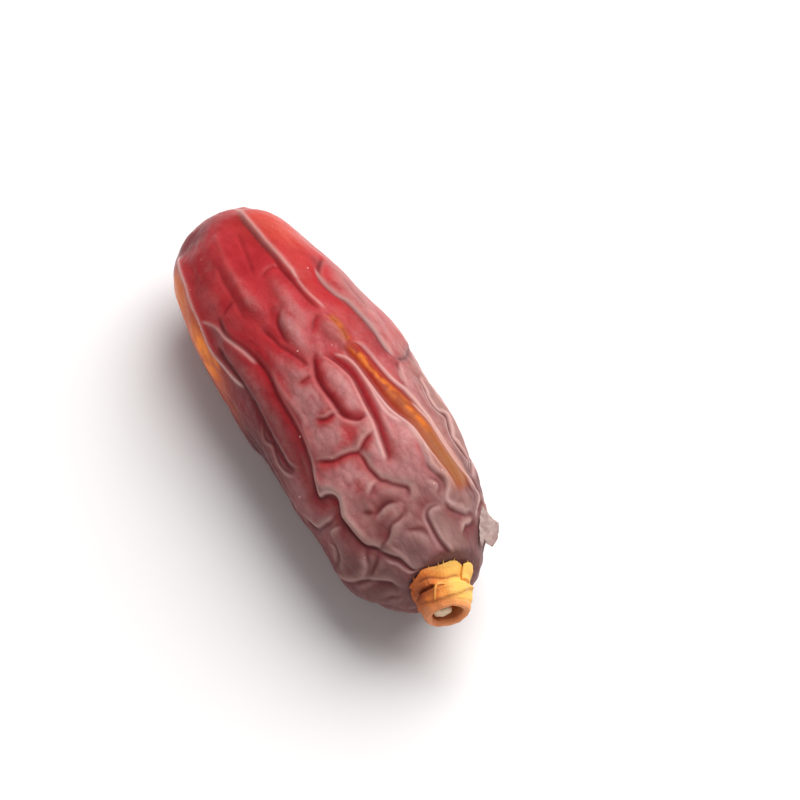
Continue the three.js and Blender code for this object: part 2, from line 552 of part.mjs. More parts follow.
function petalPoint(side, rise, outer, middle) {
  const over = ramp(0.22, 0.62, side);
  const top = THREE.MathUtils.lerp(1.75, 1.24, ramp(0.1, 0.5, side));
  const jag = 0.10 * Math.sin(9 * side + middle) + 0.25 * side * side;
  const foot = 0.06 + Math.max(0, jag);
  const height = THREE.MathUtils.lerp(foot, top, rise);
  const span = THREE.MathUtils.lerp(PETAL_SPAN, PETAL_SPAN_TOP, ramp(0.55, 1, rise) * (side < 0 ? 1 : 0));
  const angle = middle + radians(span) * side;
  const spread = FOOT_FLARE + SIDE_FLARE * Math.max(0, -Math.cos(angle));
  const flare = spread * (1 - ramp(0, 0.9, height));
  const inner = 1.96 - 0.26 * height + flare + LIFT * over - (side > 0.5 ? 0.12 * rise : 0);
  const radius = inner + (outer ? SCALE_THICKNESS : 0);
  return capPoint(radius * Math.cos(angle), radius * Math.sin(angle), height);
}

function petal(number) {
  const middle = radians(PETAL_TURN + number * 360 / PETALS);
  const geometry = shaped(new THREE.BoxGeometry(2, 1, 1, 18, 6, 1), ({ x, y, z }) => (
    petalPoint(-x, y + 0.5, z < 0, middle)
  ));
  const mesh = new THREE.Mesh(geometry, straw);
  mesh.name = `petal_${number + 1}`;
  return mesh;
}

const date = new THREE.Group();
date.name = 'date';
const cap = new THREE.Group();
cap.applyMatrix4(capFrame);
cap.add(receptacle(), calyx());
for (let number = 0; number < PETALS; number += 1) cap.add(petal(number));
date.add(fruit(), cap);

export default date;
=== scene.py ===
# %% [markdown]
# # A ripe date on a pale table
#
# A half dried date lies on its side. Its skin has shrunk round the flesh: long creases run down its
# back, puffed pillows stand between them, and one smooth amber seam crosses it. On the stalk end
# sits the dry cap, the calyx and petals of the flower, with a pale core in its round scar.
#
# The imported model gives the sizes, the places and the main folds. This lesson builds a finer skin and
# a finer cap in the same places, gives them their finishes, and sets a table, lights and a camera.
# Everything is worked out in millimetres and turned into metres when a mesh is made.

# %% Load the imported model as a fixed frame
import math

import bmesh
import bpy
import numpy as np
from mathutils import Matrix, Vector


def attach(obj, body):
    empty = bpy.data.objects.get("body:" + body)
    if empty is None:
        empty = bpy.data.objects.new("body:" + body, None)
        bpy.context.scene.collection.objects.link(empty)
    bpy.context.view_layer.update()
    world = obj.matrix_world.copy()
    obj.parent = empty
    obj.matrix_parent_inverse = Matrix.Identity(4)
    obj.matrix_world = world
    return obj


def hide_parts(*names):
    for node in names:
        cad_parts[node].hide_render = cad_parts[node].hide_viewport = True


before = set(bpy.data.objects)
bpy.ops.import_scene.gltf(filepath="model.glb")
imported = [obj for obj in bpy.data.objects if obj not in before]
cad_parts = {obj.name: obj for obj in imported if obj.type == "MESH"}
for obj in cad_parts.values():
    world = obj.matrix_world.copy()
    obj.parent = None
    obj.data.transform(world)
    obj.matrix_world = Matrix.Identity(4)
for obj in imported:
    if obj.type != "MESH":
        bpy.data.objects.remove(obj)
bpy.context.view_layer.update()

MM = 0.001
scene = bpy.context.scene
print("packed pieces:", sorted(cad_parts))

# %% [markdown]
# ## The camera
#
# The photograph looks down on the date from the stalk end, a little from its right. A camera can be
# placed by hand and turned until the picture fits, or worked out from the view's two angles. Here
# it is worked out: the line of sight through one known pixel must pass through the middle of the
# fruit. So neither a lens shift nor a tilt is needed, and the distance and the lens set the size.

# %% Camera at the photograph's viewing angle
AZIMUTH = math.radians(59.0)
ELEVATION = math.radians(60.0)
CAMERA_DISTANCE = 279.0
LENS = 118.0
SENSOR = 36.0
PICTURE = 800
MIDDLE = Vector((0.0, 0.0, 9.1))
MIDDLE_PIXEL = (333.7, 397.7)

view_back = Vector((math.sin(AZIMUTH) * math.cos(ELEVATION), -math.cos(AZIMUTH) * math.cos(ELEVATION),
                    math.sin(ELEVATION)))
view_right = (-view_back).cross(Vector((0, 0, 1))).normalized()
view_up = view_right.cross(-view_back)
pixels_per_unit = PICTURE * LENS / SENSOR
ray = (-view_back + view_right * (MIDDLE_PIXEL[0] - PICTURE / 2) / pixels_per_unit
       - view_up * (MIDDLE_PIXEL[1] - PICTURE / 2) / pixels_per_unit).normalized()

camera_data = bpy.data.cameras.new("camera")
camera_data.lens = LENS
camera_data.sensor_width = SENSOR
camera_data.clip_start = 0.01
camera = bpy.data.objects.new("camera", camera_data)
scene.collection.objects.link(camera)
camera.matrix_world = Matrix((view_right, view_up, view_back)).transposed().to_4x4()
camera.location = (MIDDLE - ray * CAMERA_DISTANCE) * MM
scene.camera = camera
print("camera at, mm:", [round(v / MM, 1) for v in camera.location])

# %% [markdown]
# ## The plain fruit
#
# Without its wrinkles a date is a long body with a full, blunt stalk end and a slimmer blossom end,
# and its two flanks differ. A subdivided box could be pushed into that shape. A formula is used
# instead, because every fold can then be placed by two numbers: how far along the fruit it lies, and
# how many degrees round it from straight up. Each flank follows a superellipse of its own.

# %% The plain fruit as a formula
HALF = 26.0
BREADTH_PLUS = 9.5
BREADTH_MINUS = 10.0
RISE = 9.3
DROP = 9.5
AXIS_HEIGHT = 8.9
FLANK_PLUS = {"widest": 1.6, "stalk": 2.2, "blossom": 2.15}
FLANK_MINUS = {"widest": -0.2, "stalk": 3.9, "blossom": 2.85}


def ramp(start, end, value):
    t = np.clip((value - start) / (end - start), 0, 1)
    return t * t * (3 - 2 * t)


def fullness(x, flank):
    towards_stalk = x > flank["widest"]
    reach = np.where(towards_stalk, HALF - flank["widest"], HALF + flank["widest"])
    power = np.where(towards_stalk, flank["stalk"], flank["blossom"])
    s = np.clip(np.abs(x - flank["widest"]) / reach, 0, 1)
    return np.clip(1 - s ** power, 0, 1) ** (1 / power)


def plain_fruit(x, around):
    plus = fullness(x, FLANK_PLUS)
    minus = fullness(x, FLANK_MINUS)
    breadth = np.where(np.sin(around) > 0, BREADTH_PLUS * plus, BREADTH_MINUS * minus)
    height = np.where(np.cos(around) > 0, RISE, DROP) * (plus + minus) / 2
    return np.stack([x + 0 * around, breadth * np.sin(around), AXIS_HEIGHT + height * np.cos(around)], -1)


def outward(x, around):
    step = 0.02
    turn = plain_fruit(x, around + step / 10) - plain_fruit(x, around - step / 10)
    along = plain_fruit(np.minimum(HALF, x + step), around) - plain_fruit(np.maximum(-HALF, x - step), around)
    normal = np.cross(along, turn)
    return normal / np.linalg.norm(normal, axis=-1, keepdims=True)


print("plain fruit, mm:", 2 * HALF, "long,", BREADTH_PLUS + BREADTH_MINUS, "wide")

# %% [markdown]
# ## Folds, ridges and pillows
#
# These lists are the drawing of the skin. Each row is one fold that can be pointed at in the
# photograph, as a line of a few points. A noise texture would give wrinkles too, but never these
# wrinkles in these places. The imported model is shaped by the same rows; only the ridge under the
# loose scale is lower here, because the scale itself is added. The far flank and the belly, which
# no photograph shows, get long folds of the same kind.

# %% The lines of the skin
# Creases of the skin, each read along its line:
# [depth, half width, raised lip above it, raised lip below it, [[x, degrees round], ...]]
CREASES = [
    # the long crease of the blossom half, and the small bulge that it ends at
    [0.26, 0.34, 0.34, 0.05, [[-22, 10], [-19, 7], [-16, 6], [-14, 6.5], [-12, 5.5], [-10, 6.5],
        [-7, 8], [-5, 10.5]]],
    [0.50, 0.34, 0.10, 0.18, [[-5, 10], [-4.5, 13], [-3, 15], [-2, 15.5], [-1, 14.5], [-0.3, 12.5],
        [0, 9]]],
    [0.42, 0.34, 0.08, 0.10, [[-4.9, 11], [-4.8, 6], [-4.4, 2], [-3.7, -1.5], [-3, -4]]],
    # the two edges of the amber seam
    [0.50, 0.40, 0.22, 0.00, [[-0.3, 13], [0.2, 18], [1, 20], [3, 21.5], [5, 23], [6, 25], [7, 28],
        [8, 29.5], [10, 33], [12, 35], [14, 36], [16, 38.5], [18, 43], [19, 47], [19.8, 50]]],
    [0.46, 0.38, 0.00, 0.16, [[-0.2, 9.5], [0.8, 8.7], [2, 10], [4, 10.5], [6, 11.5], [8, 13],
        [9.5, 16], [10.5, 19], [12, 21], [14, 21.5], [15, 23], [16.5, 25], [18, 26.5], [19.5, 28]]],
    # round the long island on the back
    [0.85, 0.50, 0.12, 0.20, [[-0.7, -6.5], [-0.3, -3], [0.5, -1], [2, 1.5], [3.5, 3], [5, 2], [7, 0.5],
        [9, -0.5], [10.5, -2.5], [11.5, -4], [13, -6], [13.5, -8], [13.6, -12]]],
    [0.85, 0.46, 0.16, 0.20, [[-0.9, -5], [-0.6, -10], [0.5, -13.5], [1.5, -15.5], [3, -16], [5, -15.5],
        [6.5, -15.5], [7.5, -12.5], [8.1, -8], [8, -4], [8.5, -0.5]]],
    # across the back, between the pillows
    [0.60, 0.38, 0.10, 0.15, [[6.5, -15], [6.1, -20], [6, -25], [5.5, -29], [5.2, -33]]],
    [0.40, 0.34, 0.06, 0.10, [[1.3, -15], [1, -19], [1, -24], [0.9, -29]]],
    [0.75, 0.42, 0.12, 0.18, [[9.8, -2], [10.2, -7], [10.4, -12], [11, -19], [10.6, -24], [10.3, -30],
        [10.1, -35], [9.5, -40], [9, -44], [8.8, -48]]],
    [0.70, 0.40, 0.16, 0.12, [[10.6, -23], [11, -20.5], [12, -19.5], [13, -20], [14, -19], [14.8, -18],
        [15.2, -15.5], [15.8, -13], [16.4, -9.5], [16.9, -6.5], [17.5, -8], [18, -12]]],
    [0.38, 0.30, 0.05, 0.10, [[14.8, -18], [15, -23], [15.4, -27], [15.8, -30]]],
    [0.75, 0.38, 0.18, 0.12, [[17.9, -13], [17.3, -19], [17.1, -24], [17.2, -30], [17.5, -38]]],
    [0.40, 0.30, 0.06, 0.06, [[17.3, -31], [16.8, -35], [16.1, -40]]],
    [0.42, 0.30, 0.08, 0.08, [[17.9, -14], [18.6, -15], [19, -18], [19.2, -24], [19.4, -29],
        [19.9, -35]]],
    [0.80, 0.42, 0.34, 0.05, [[8.3, -50], [10, -55], [11, -58], [11.8, -59], [12.2, -53], [12.8, -48.5],
        [13.5, -47], [14.3, -49.5], [15, -52.5], [16, -53], [18, -53], [19, -52], [19.6, -48.5],
        [20.3, -45], [20, -41], [19.9, -37]]],
    # the wide grooves along the -Y flank
    [0.75, 0.95, 0.30, 0.10, [[-12.2, -46], [-10, -49], [-8.5, -47.5], [-7, -44], [-5, -41],
        [-3, -39.5], [-1.5, -40], [0, -42], [2, -43], [4, -44], [6, -46], [8, -49], [10, -54.5],
        [11.5, -58.5]]],
    [0.38, 0.50, 0.10, 0.10, [[-11.9, -28], [-11.8, -36], [-11.5, -41], [-11, -47]]],
    [0.90, 0.85, 0.28, 0.12, [[-10, -61], [-7, -59], [-4, -58], [-1, -59], [1, -62], [3, -64], [5, -65],
        [6.5, -65], [8.2, -61.5]]],
    [0.40, 0.35, 0.10, 0.20, [[0.6, -62], [2.2, -69.5], [3.4, -66.5], [5.2, -71], [6.8, -68.5],
        [8, -62]]],
    # down the -Y flank of the stalk half
    [0.55, 0.42, 0.10, 0.15, [[14.5, -53], [14.6, -58], [14.5, -63], [14.2, -68], [13.9, -74],
        [13.5, -79], [12.5, -83], [10.5, -85]]],
    [0.42, 0.36, 0.10, 0.10, [[15.6, -69], [16.2, -71], [16.8, -74], [17.3, -78], [17.5, -83],
        [17.2, -92]]],
    [0.45, 0.38, 0.10, 0.10, [[20.3, -45], [20.8, -54], [21, -60], [21.2, -68], [21, -74], [20.5, -80],
        [19.8, -88]]],
    [0.35, 0.34, 0.08, 0.08, [[21.2, -10], [20.8, -18], [20.4, -24]]],
    # puckers of the stalk end
    [0.50, 0.36, 0.26, 0.05, [[19.9, 11], [19.8, 6], [19.7, 1], [19.9, -3.5], [20.6, -6], [21.8, -5.5],
        [23, -3.5], [24.2, -3]]],
    [0.75, 0.36, 0.24, 0.06, [[19.5, 12], [20.5, 14], [20.9, 18], [21.2, 22], [21.5, 30], [21.5, 38],
        [21.8, 44]]],
    [0.60, 0.34, 0.06, 0.18, [[21.8, 43], [22.3, 40], [22.6, 34], [22.6, 28], [22.9, 22], [23, 14]]],
    [0.50, 0.36, 0.10, 0.10, [[21.9, 43], [21, 54], [20.2, 62], [19.8, 70], [19.6, 80]]],
    [0.45, 0.32, 0.24, 0.06, [[12.4, 17.5], [15, 15], [16, 13.5], [17, 16.5], [18, 19.5], [18.7, 17.5],
        [19.5, 13.5]]],
    [0.38, 0.30, 0.08, 0.12, [[17, 4], [17.2, 11], [17.7, 15], [18.2, 15.5], [18.8, 12], [19.4, 8]]],
    # the +Y shoulder
    [0.55, 0.50, 0.34, 0.05, [[-12.3, 43], [-11, 33], [-10, 27.5], [-9, 25.5], [-7, 27], [-5.5, 31],
        [-3.5, 33], [-1, 35], [1, 35], [2.9, 37.5]]],
    [0.60, 0.36, 0.16, 0.14, [[2.9, 35], [2.9, 42], [2.6, 50], [2, 57], [1, 65], [0, 77]]],
    [0.35, 0.34, 0.16, 0.05, [[3, 43], [3.6, 37], [4.5, 34], [6, 31], [7.2, 29.5]]],
    [0.45, 0.38, 0.22, 0.06, [[4.6, 56], [5.5, 50], [7, 47.5], [8, 44.5], [9.4, 45.5], [10, 50],
        [10.4, 55], [12, 53], [13, 50.5], [14, 53.5], [15, 57], [16, 59], [17.3, 57]]],
    [0.80, 0.42, 0.20, 0.10, [[14.3, 82], [15, 72], [16, 64], [17, 58], [17.3, 51]]],
    # soft creases of the smooth blossom half
    [0.22, 0.60, 0.06, 0.06, [[-20, -2], [-17, -6.5], [-15, -9], [-12.6, -12.5]]],
    [0.22, 0.55, 0.06, 0.08, [[-17, -28], [-15, -30], [-12, -30.5], [-9, -32.5]]],
    [0.26, 0.45, 0.06, 0.10, [[-12, 6], [-12.8, 1], [-12.7, -4], [-12, -10.5]]],
    [0.36, 0.40, 0.18, 0.05, [[-8, -8], [-7.5, -11], [-6.5, -16], [-5, -18], [-3, -18]]],
    [0.45, 0.42, 0.12, 0.10, [[-7.5, -27], [-6.5, -26], [-5, -24], [-4, -23.5], [-3, -21], [-1.5, -18],
        [0.6, -15]]],
    [0.20, 0.28, 0.05, 0.05, [[-7.6, -38], [-6.3, -36.5], [-5.2, -33]]],
    # long folds of the far flank and the belly
    [0.70, 0.65, 0.25, 0.10, [[-21, 112], [-14, 106], [-8, 109], [-2, 103], [4, 99], [9, 102],
        [13, 98]]],
    [0.75, 0.60, 0.20, 0.15, [[0, 131], [4, 124], [8, 126], [12, 121], [17, 126], [21, 122],
        [23.5, 126]]],
    [0.60, 0.60, 0.15, 0.15, [[-22, 148], [-16, 141], [-10, 146], [-5, 139], [-1, 132]]],
    [0.50, 0.45, 0.10, 0.15, [[8, 127], [9.5, 136], [8.6, 146], [10, 156], [13, 163]]],
    [0.55, 0.45, 0.12, 0.12, [[15, 124], [15.6, 134], [17.5, 142], [17, 153], [19, 165]]],
    [0.60, 0.55, 0.15, 0.15, [[-19, 205], [-12, 211], [-6, 207], [0, 213], [6, 208], [11, 212]]],
    [0.70, 0.60, 0.20, 0.15, [[-14, 233], [-8, 228], [-2, 234], [4, 228], [9, 233], [13, 226],
        [17, 229]]],
    [0.60, 0.45, 0.12, 0.15, [[10, 212], [13, 206], [16, 211], [19, 205], [22, 212], [23.5, 208]]],
    [0.45, 0.40, 0.10, 0.10, [[4, 229], [5.5, 221], [5, 212]]],
    [0.50, 0.42, 0.12, 0.12, [[16.5, 230], [18, 238], [17.4, 247], [19, 255]]],
]

# Raised edges of the skin: [height, half width above, half width below, [[x, degrees round], ...]]
RIDGES = [
    [0.42, 2.60, 0.42, [[-23.3, 26], [-21.5, 13.5], [-20, 11], [-18, 9.6], [-16, 8.6], [-13, 9.8],
        [-9.5, 11]]],
    [0.15, 0.55, 0.55, [[-24.8, 85], [-24.5, 60], [-24, 45], [-23.3, 30], [-22.3, 18]]],
    [0.30, 0.50, 0.34, [[-0.2, 0], [1, 5], [2.5, 7.6], [5, 7.6], [8, 6.4], [9, 4.5], [11, 2.6],
        [13, 1.5]]],
    [0.50, 0.60, 0.34, [[-23.2, -69], [-22.3, -64.5], [-21.5, -61], [-20, -58.7], [-18, -58],
        [-16, -60.2], [-14, -62], [-12, -64.5], [-10.5, -66.4], [-9, -66.4], [-7, -63.8], [-5, -61.5],
        [-3.4, -60]]],
    [0.26, 0.40, 0.60, [[-13.4, -62], [-12.2, -56], [-11, -52], [-9.5, -50.6], [-8, -47.6], [-6, -44],
        [-4, -42]]],
    [0.20, 0.70, 0.70, [[-21.5, -17], [-18, -21], [-14, -22.5], [-11, -24.5], [-8.5, -27]]],
    [0.28, 0.55, 0.40, [[-3, -34.5], [0, -37.5], [2.5, -36.5], [4.5, -36], [5.3, -39.5], [7, -41.5],
        [8.9, -43]]],
    [0.34, 0.55, 0.36, [[9.4, -47], [10.4, -50.5], [11.3, -50], [12.1, -45.5], [13.2, -43],
        [14.2, -44.5], [15.4, -48], [17, -48.5], [18.6, -47.5], [19.3, -44]]],
    [0.22, 0.40, 0.34, [[10, 19.5], [13, 19.8], [15, 18.6], [16, 16.8], [17, 19.8], [18, 22.4],
        [19, 20]]],
    # under the loose scale of skin beside the stalk end
    [0.30, 1.00, 0.60, [[18.4, 63], [19.6, 66], [21, 67], [22.4, 67], [23.6, 65]]],
    [0.35, 0.80, 0.60, [[-23, 176], [-18, 171], [-13, 168]]],
    [0.40, 0.70, 0.90, [[-23, 250], [-17, 246], [-10, 249], [-4, 244], [2, 248]]],
]

# Puffed pillows between the creases: [height, x, degrees round, half length, half breadth, turn in degrees]
PILLOWS = [
    [0.55, 3.7, -7.8, 4.3, 1.5, -2],
    [0.40, -2.4, 10.5, 2.2, 0.9, 4],
    [0.30, -5.4, -11, 2.6, 0.95, -5],
    [0.35, 3.6, -23.5, 2.4, 1.9, 0],
    [0.28, -1.6, -25, 2.4, 1.5, 10],
    [0.35, 7.7, -31, 1.9, 2.6, 0],
    [0.38, 13.2, -32, 2.6, 2.4, 0],
    [0.30, 10.9, -10, 2.2, 1.2, -15],
    [0.42, -5, 41, 6, 2.0, -6],
    [0.30, 7, 39, 3.6, 1.4, 20],
    [0.35, 9.6, 61, 4.6, 1.3, 4],
    [0.40, 13.5, 8.5, 3.4, 1.6, 0],
    [0.30, -16, 28, 6.0, 3.0, -4],
    [0.35, -15, -44, 4.5, 2.6, 4],
    [0.35, -4, -52, 6.5, 1.5, 2],
    [0.25, 8.6, -71, 4.5, 1.8, 0],
    [0.30, 16.8, -62, 2.2, 1.6, 0],
    [0.30, 20.2, 26, 1.6, 2.2, 0],
    [0.25, 22.6, 4, 1.6, 1.6, 0],
    # swellings and one dent of the outline
    [0.95, 19.3, -101, 3.6, 3.2, 0],
    [0.55, -2.6, 70, 4.2, 2.2, 0],
    [0.45, -20.8, 52, 3.6, 3.0, 0],
    [-0.35, -23, -38, 2.4, 3.2, 0],
    [0.30, -21, -86, 3.2, 2.6, 0],
]

# The smooth amber seam: height, half width at its two ends, and line of its cord
SEAM_HEIGHT = 0.42
SEAM_START = 0.8
SEAM_END = 1.35
SEAM = [[-1.2, 12.5], [0.8, 14], [2.5, 15.2], [4, 16.2], [6, 18.4], [8, 21.5], [10, 25.5], [12, 28],
    [14, 29], [16, 31.5], [18, 35], [19.5, 39]]

print(len(CREASES), "creases,", len(RIDGES), "ridges,", len(PILLOWS), "pillows")

# %% [markdown]
# ## How far every point of the skin lies from a line
#
# A fold is a valley along its line, so its depth at a point depends on the distance to that line. The
# few points of a row are joined by a smooth curve that passes through all of them. A point also
# knows on which side of the line it lies, since a fold often has one sharp lip and one soft one.

# %% Smooth lines on the skin
MM_PER_DEGREE = 0.165    # of the way round the fruit
LINE_STEP = 0.35         # the longest straight piece of a line


def smooth_line(points):
    p = np.array(points, float)
    p = np.vstack([2 * p[0] - p[1], p, 2 * p[-1] - p[-2]])
    line = []
    for a, b, c, d in zip(p, p[1:], p[2:], p[3:]):
        steps = max(2, int(math.hypot(c[0] - b[0], (c[1] - b[1]) * MM_PER_DEGREE) / LINE_STEP + 1))
        for t in np.arange(steps) / steps:
            bend = (2 * a - 5 * b + 4 * c - d) * t * t + (3 * b - a - 3 * c + d) * t ** 3
            line.append(0.5 * (2 * b + (c - a) * t + bend))
    line = np.array(line + [p[-2]])
    return plain_fruit(np.clip(line[:, 0], -HALF, HALF), np.radians(line[:, 1]))


def close_to(points, places, reach):
    low, high = places.min(0) - reach, places.max(0) + reach
    return np.flatnonzero(np.all((points > low) & (points < high), axis=1))


def nearest(points, normals, line):
    square = np.full(len(points), np.inf)
    above = np.zeros(len(points), bool)
    along = np.zeros(len(points))
    length = 0.0
    for start, end in zip(line, line[1:]):
        piece = end - start
        offset = points - start
        t = np.clip(offset @ piece / (piece @ piece), 0, 1)
        offset -= t[:, None] * piece
        found = (offset ** 2).sum(1)
        closer = found < square
        square[closer] = found[closer]
        above[closer] = ((np.cross(piece, offset) * normals).sum(1) > 0)[closer]
        along[closer] = (length + t * np.linalg.norm(piece))[closer]
        length += np.linalg.norm(piece)
    return np.sqrt(square), above, along, length


def taper(along, length, run):
    end = min(run, length / 2.5)
    return ramp(0, end, along) * ramp(0, end, length - along)


def line_length(line):
    return np.linalg.norm(np.diff(line, axis=0), axis=1).sum()


print("longest fold, mm:", round(max(line_length(smooth_line(row[4])) for row in CREASES), 1))

# %% [markdown]
# ## Unevenness that is the same on every run
#
# No skin is as smooth as a formula. Blender's noise texture could displace it, but its pattern can
# change between versions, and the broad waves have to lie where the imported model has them. A small
# value noise made from a sine gives both. Its cells are twice as long along the fruit, because the
# flesh has fibres. A second pattern, the lines midway between scattered seeds, gives the net of
# fine wrinkles.

# %% Waves and nets
WAVES = ((0.34, 3.1, 0), (0.12, 1.5, 7.7), (0.07, 0.6, 3.1))    # each: height, size, shift
SEEN_FROM = (-104, -90)    # degrees round the fruit between which the hidden side fades out
SEEN_TO = (70, 84)         # and in again


def chance(i, j, k):
    value = np.sin(i * 127.1 + j * 311.7 + k * 74.7) * 43758.5453
    return value - np.floor(value)


def ripple(points, size, shift):
    p = points * (0.5, 1, 1) / size + shift
    cell = np.floor(p)
    f = p - cell
    f = f * f * (3 - 2 * f)
    total = 0
    for corner in np.ndindex(2, 2, 2):
        weight = np.prod(np.where(corner, f, 1 - f), axis=1)
        total = total + weight * chance(*(cell + corner).T)
    return total - 0.5


def waves(points):
    return sum(height * ripple(points, size, shift) for height, size, shift in WAVES)


def net_crease(points, cell_size, width):
    p = points / cell_size
    cell = np.floor(p)
    first = np.full(len(p), np.inf)
    second = np.full(len(p), np.inf)
    for step in np.ndindex(3, 3, 3):
        i, j, k = (cell + step - 1).T
        seed = np.stack([i + chance(i, j, k), j + chance(j, k, i), k + chance(k, i, j)], -1)
        distance = np.linalg.norm(seed - p, axis=1)
        second = np.minimum(second, np.maximum(first, distance))
        first = np.minimum(first, distance)
    return np.exp(-((second - first) / width) ** 1.4)


def hidden_side(around):
    degrees = (np.degrees(around) + 180) % 360 - 180
    return 1 - ramp(*SEEN_FROM, degrees) * (1 - ramp(*SEEN_TO, degrees))


back = plain_fruit(np.linspace(-20, 20, 9), np.zeros(9))
print("waves along the back, mm:", np.round(waves(back), 2))

# %% [markdown]
# ## The height of the skin over the plain fruit
#
# Valleys that meet must not add up to a hole, so their depths are joined by a power mean, which keeps
# the deeper one. Lips, ridges, pillows and the seam's cord are simply added. The same pass also
# notes what each point is: in a crease, on a rim, puffed or on the seam. The finish uses that later.

# %% Folds, ridges, pillows and the seam
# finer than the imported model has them, in rows of the same kinds
SMALL_CREASES = [
    [0.20, 0.22, 0.05, 0.05, [[3.5, 5.8], [5, 6], [7, 5.6], [9, 4.6]]],
    [0.16, 0.20, 0.04, 0.04, [[-3.2, 8], [-2.2, 10.4], [-1.2, 10.8]]],
    [0.14, 0.20, 0.04, 0.04, [[11.6, -33], [12.6, -36], [13.6, -35.4], [14.4, -37.5]]],
    [0.16, 0.22, 0.04, 0.04, [[12, 3.5], [13.2, 5.6], [14.6, 5.2], [15.6, 6.6]]],
    [0.14, 0.22, 0.04, 0.04, [[2.6, -22], [3.4, -24.5], [4.4, -24.2]]],
    [0.14, 0.20, 0.04, 0.04, [[20.2, 20], [20.4, 25], [20.1, 30]]],
    [0.16, 0.22, 0.06, 0.03, [[5.5, 40], [7.4, 37.6], [9.2, 38.4], [10.8, 41]]],
    [0.14, 0.22, 0.04, 0.03, [[-9.5, 46], [-6.5, 42.6], [-3.6, 43.4]]],
    [0.14, 0.22, 0.04, 0.03, [[6, -52.5], [8.2, -56], [9.6, -60.5]]],
    # the plates of skin round the stalk end
    [0.45, 0.26, 0.30, 0.02, [[18.5, -16], [19.1, -21], [19.1, -27], [19.3, -30], [19.8, -34],
        [20.1, -40], [20.3, -44]]],
    [0.50, 0.28, 0.30, 0.04, [[19.6, -50], [20.8, -45], [21.6, -41], [22.5, -36], [23.3, -32], [24.1, -26]]],
    [0.45, 0.26, 0.12, 0.14, [[20, -23], [20.6, -19], [21.2, -12], [21.8, -7]]],
    [0.40, 0.28, 0.03, 0.26, [[18.9, -52], [19.7, -56], [20.6, -62], [21, -73], [20.8, -80]]],
    [0.42, 0.28, 0.22, 0.04, [[17.6, -96], [19.6, -88], [21, -75], [22.1, -67], [23.1, -60], [24, -55]]],
    [0.36, 0.26, 0.03, 0.22, [[15.2, -76], [16.2, -72], [17, -76], [17.3, -86]]],
    [0.36, 0.26, 0.04, 0.24, [[14.9, -69], [15.1, -62], [15.6, -55]]],
    [0.34, 0.26, 0.10, 0.10, [[23.2, -88], [24, -74], [24.6, -66]]],
    # long shallow folds of the thin, shady flank
    [0.36, 0.40, 0.14, 0.05, [[-6, -83], [-2, -88], [3, -85], [8, -91], [12, -88]]],
    [0.30, 0.32, 0.10, 0.06, [[-3, -98], [3, -101], [8, -97], [13, -102]]],
    [0.28, 0.28, 0.06, 0.10, [[-18, -97], [-14, -93], [-9, -97], [-4, -92]]],
    [0.24, 0.24, 0.06, 0.06, [[2, -85], [3.4, -79], [5.4, -76]]],
    # cracks in the papery skin beyond the seam
    [0.42, 0.20, 0.10, 0.22, [[4.8, 53], [7.2, 46.5], [9.2, 45], [10, 51], [10.8, 55], [12.4, 51.5],
        [13.9, 52.5], [15.2, 57], [15.6, 62], [16.3, 58], [17.2, 55]]],
    [0.26, 0.18, 0.12, 0.04, [[5.6, 58], [7.1, 58.5], [8.8, 58]]],
    [0.30, 0.18, 0.10, 0.10, [[17.2, 53], [18.4, 56], [19.4, 61]]],
]
SMALL_RIDGES = [
    [0.12, 0.22, 0.22, [[3, 4.2], [5, 4.6], [7, 4.4], [9, 3.6]]],
    [0.20, 0.30, 0.30, [[19.9, -41], [20.6, -39], [21.4, -37], [22.2, -35], [22.9, -32]]],
    [0.16, 0.26, 0.26, [[20.2, -34], [20, -28], [19.6, -25]]],
]
SMALL_PILLOWS = [
    [0.28, 20.7, 2, 0.9, 1.3, 0],
    [0.26, 23.6, 1, 1.5, 0.9, 0],
    [0.24, 22.3, -17, 1.4, 1.5, 20],
    [0.20, 20.9, -31, 1.0, 1.2, 0],
    [0.26, 22.9, -44, 1.3, 1.6, 0],
    [0.24, 18.6, -66, 1.5, 1.6, 0],
    [0.22, 14.4, -51, 1.2, 0.8, 0],
    [0.24, 21.5, -86, 1.5, 1.2, 0],
    [0.22, 16.6, -20, 1.0, 1.0, 30],
    [0.22, 18.6, -26, 0.9, 1.1, 0],
    [0.24, 17.6, 8, 1.1, 0.9, 20],
    [0.24, 17.6, 24.5, 2.8, 0.9, 10],
    # soft bars of the blossom half
    [0.34, -8.4, -3, 3.6, 0.85, 0],
    [0.22, -5.4, -12, 2.4, 0.7, 0],
    [0.24, -11.8, -23, 5.4, 0.9, 3],
]
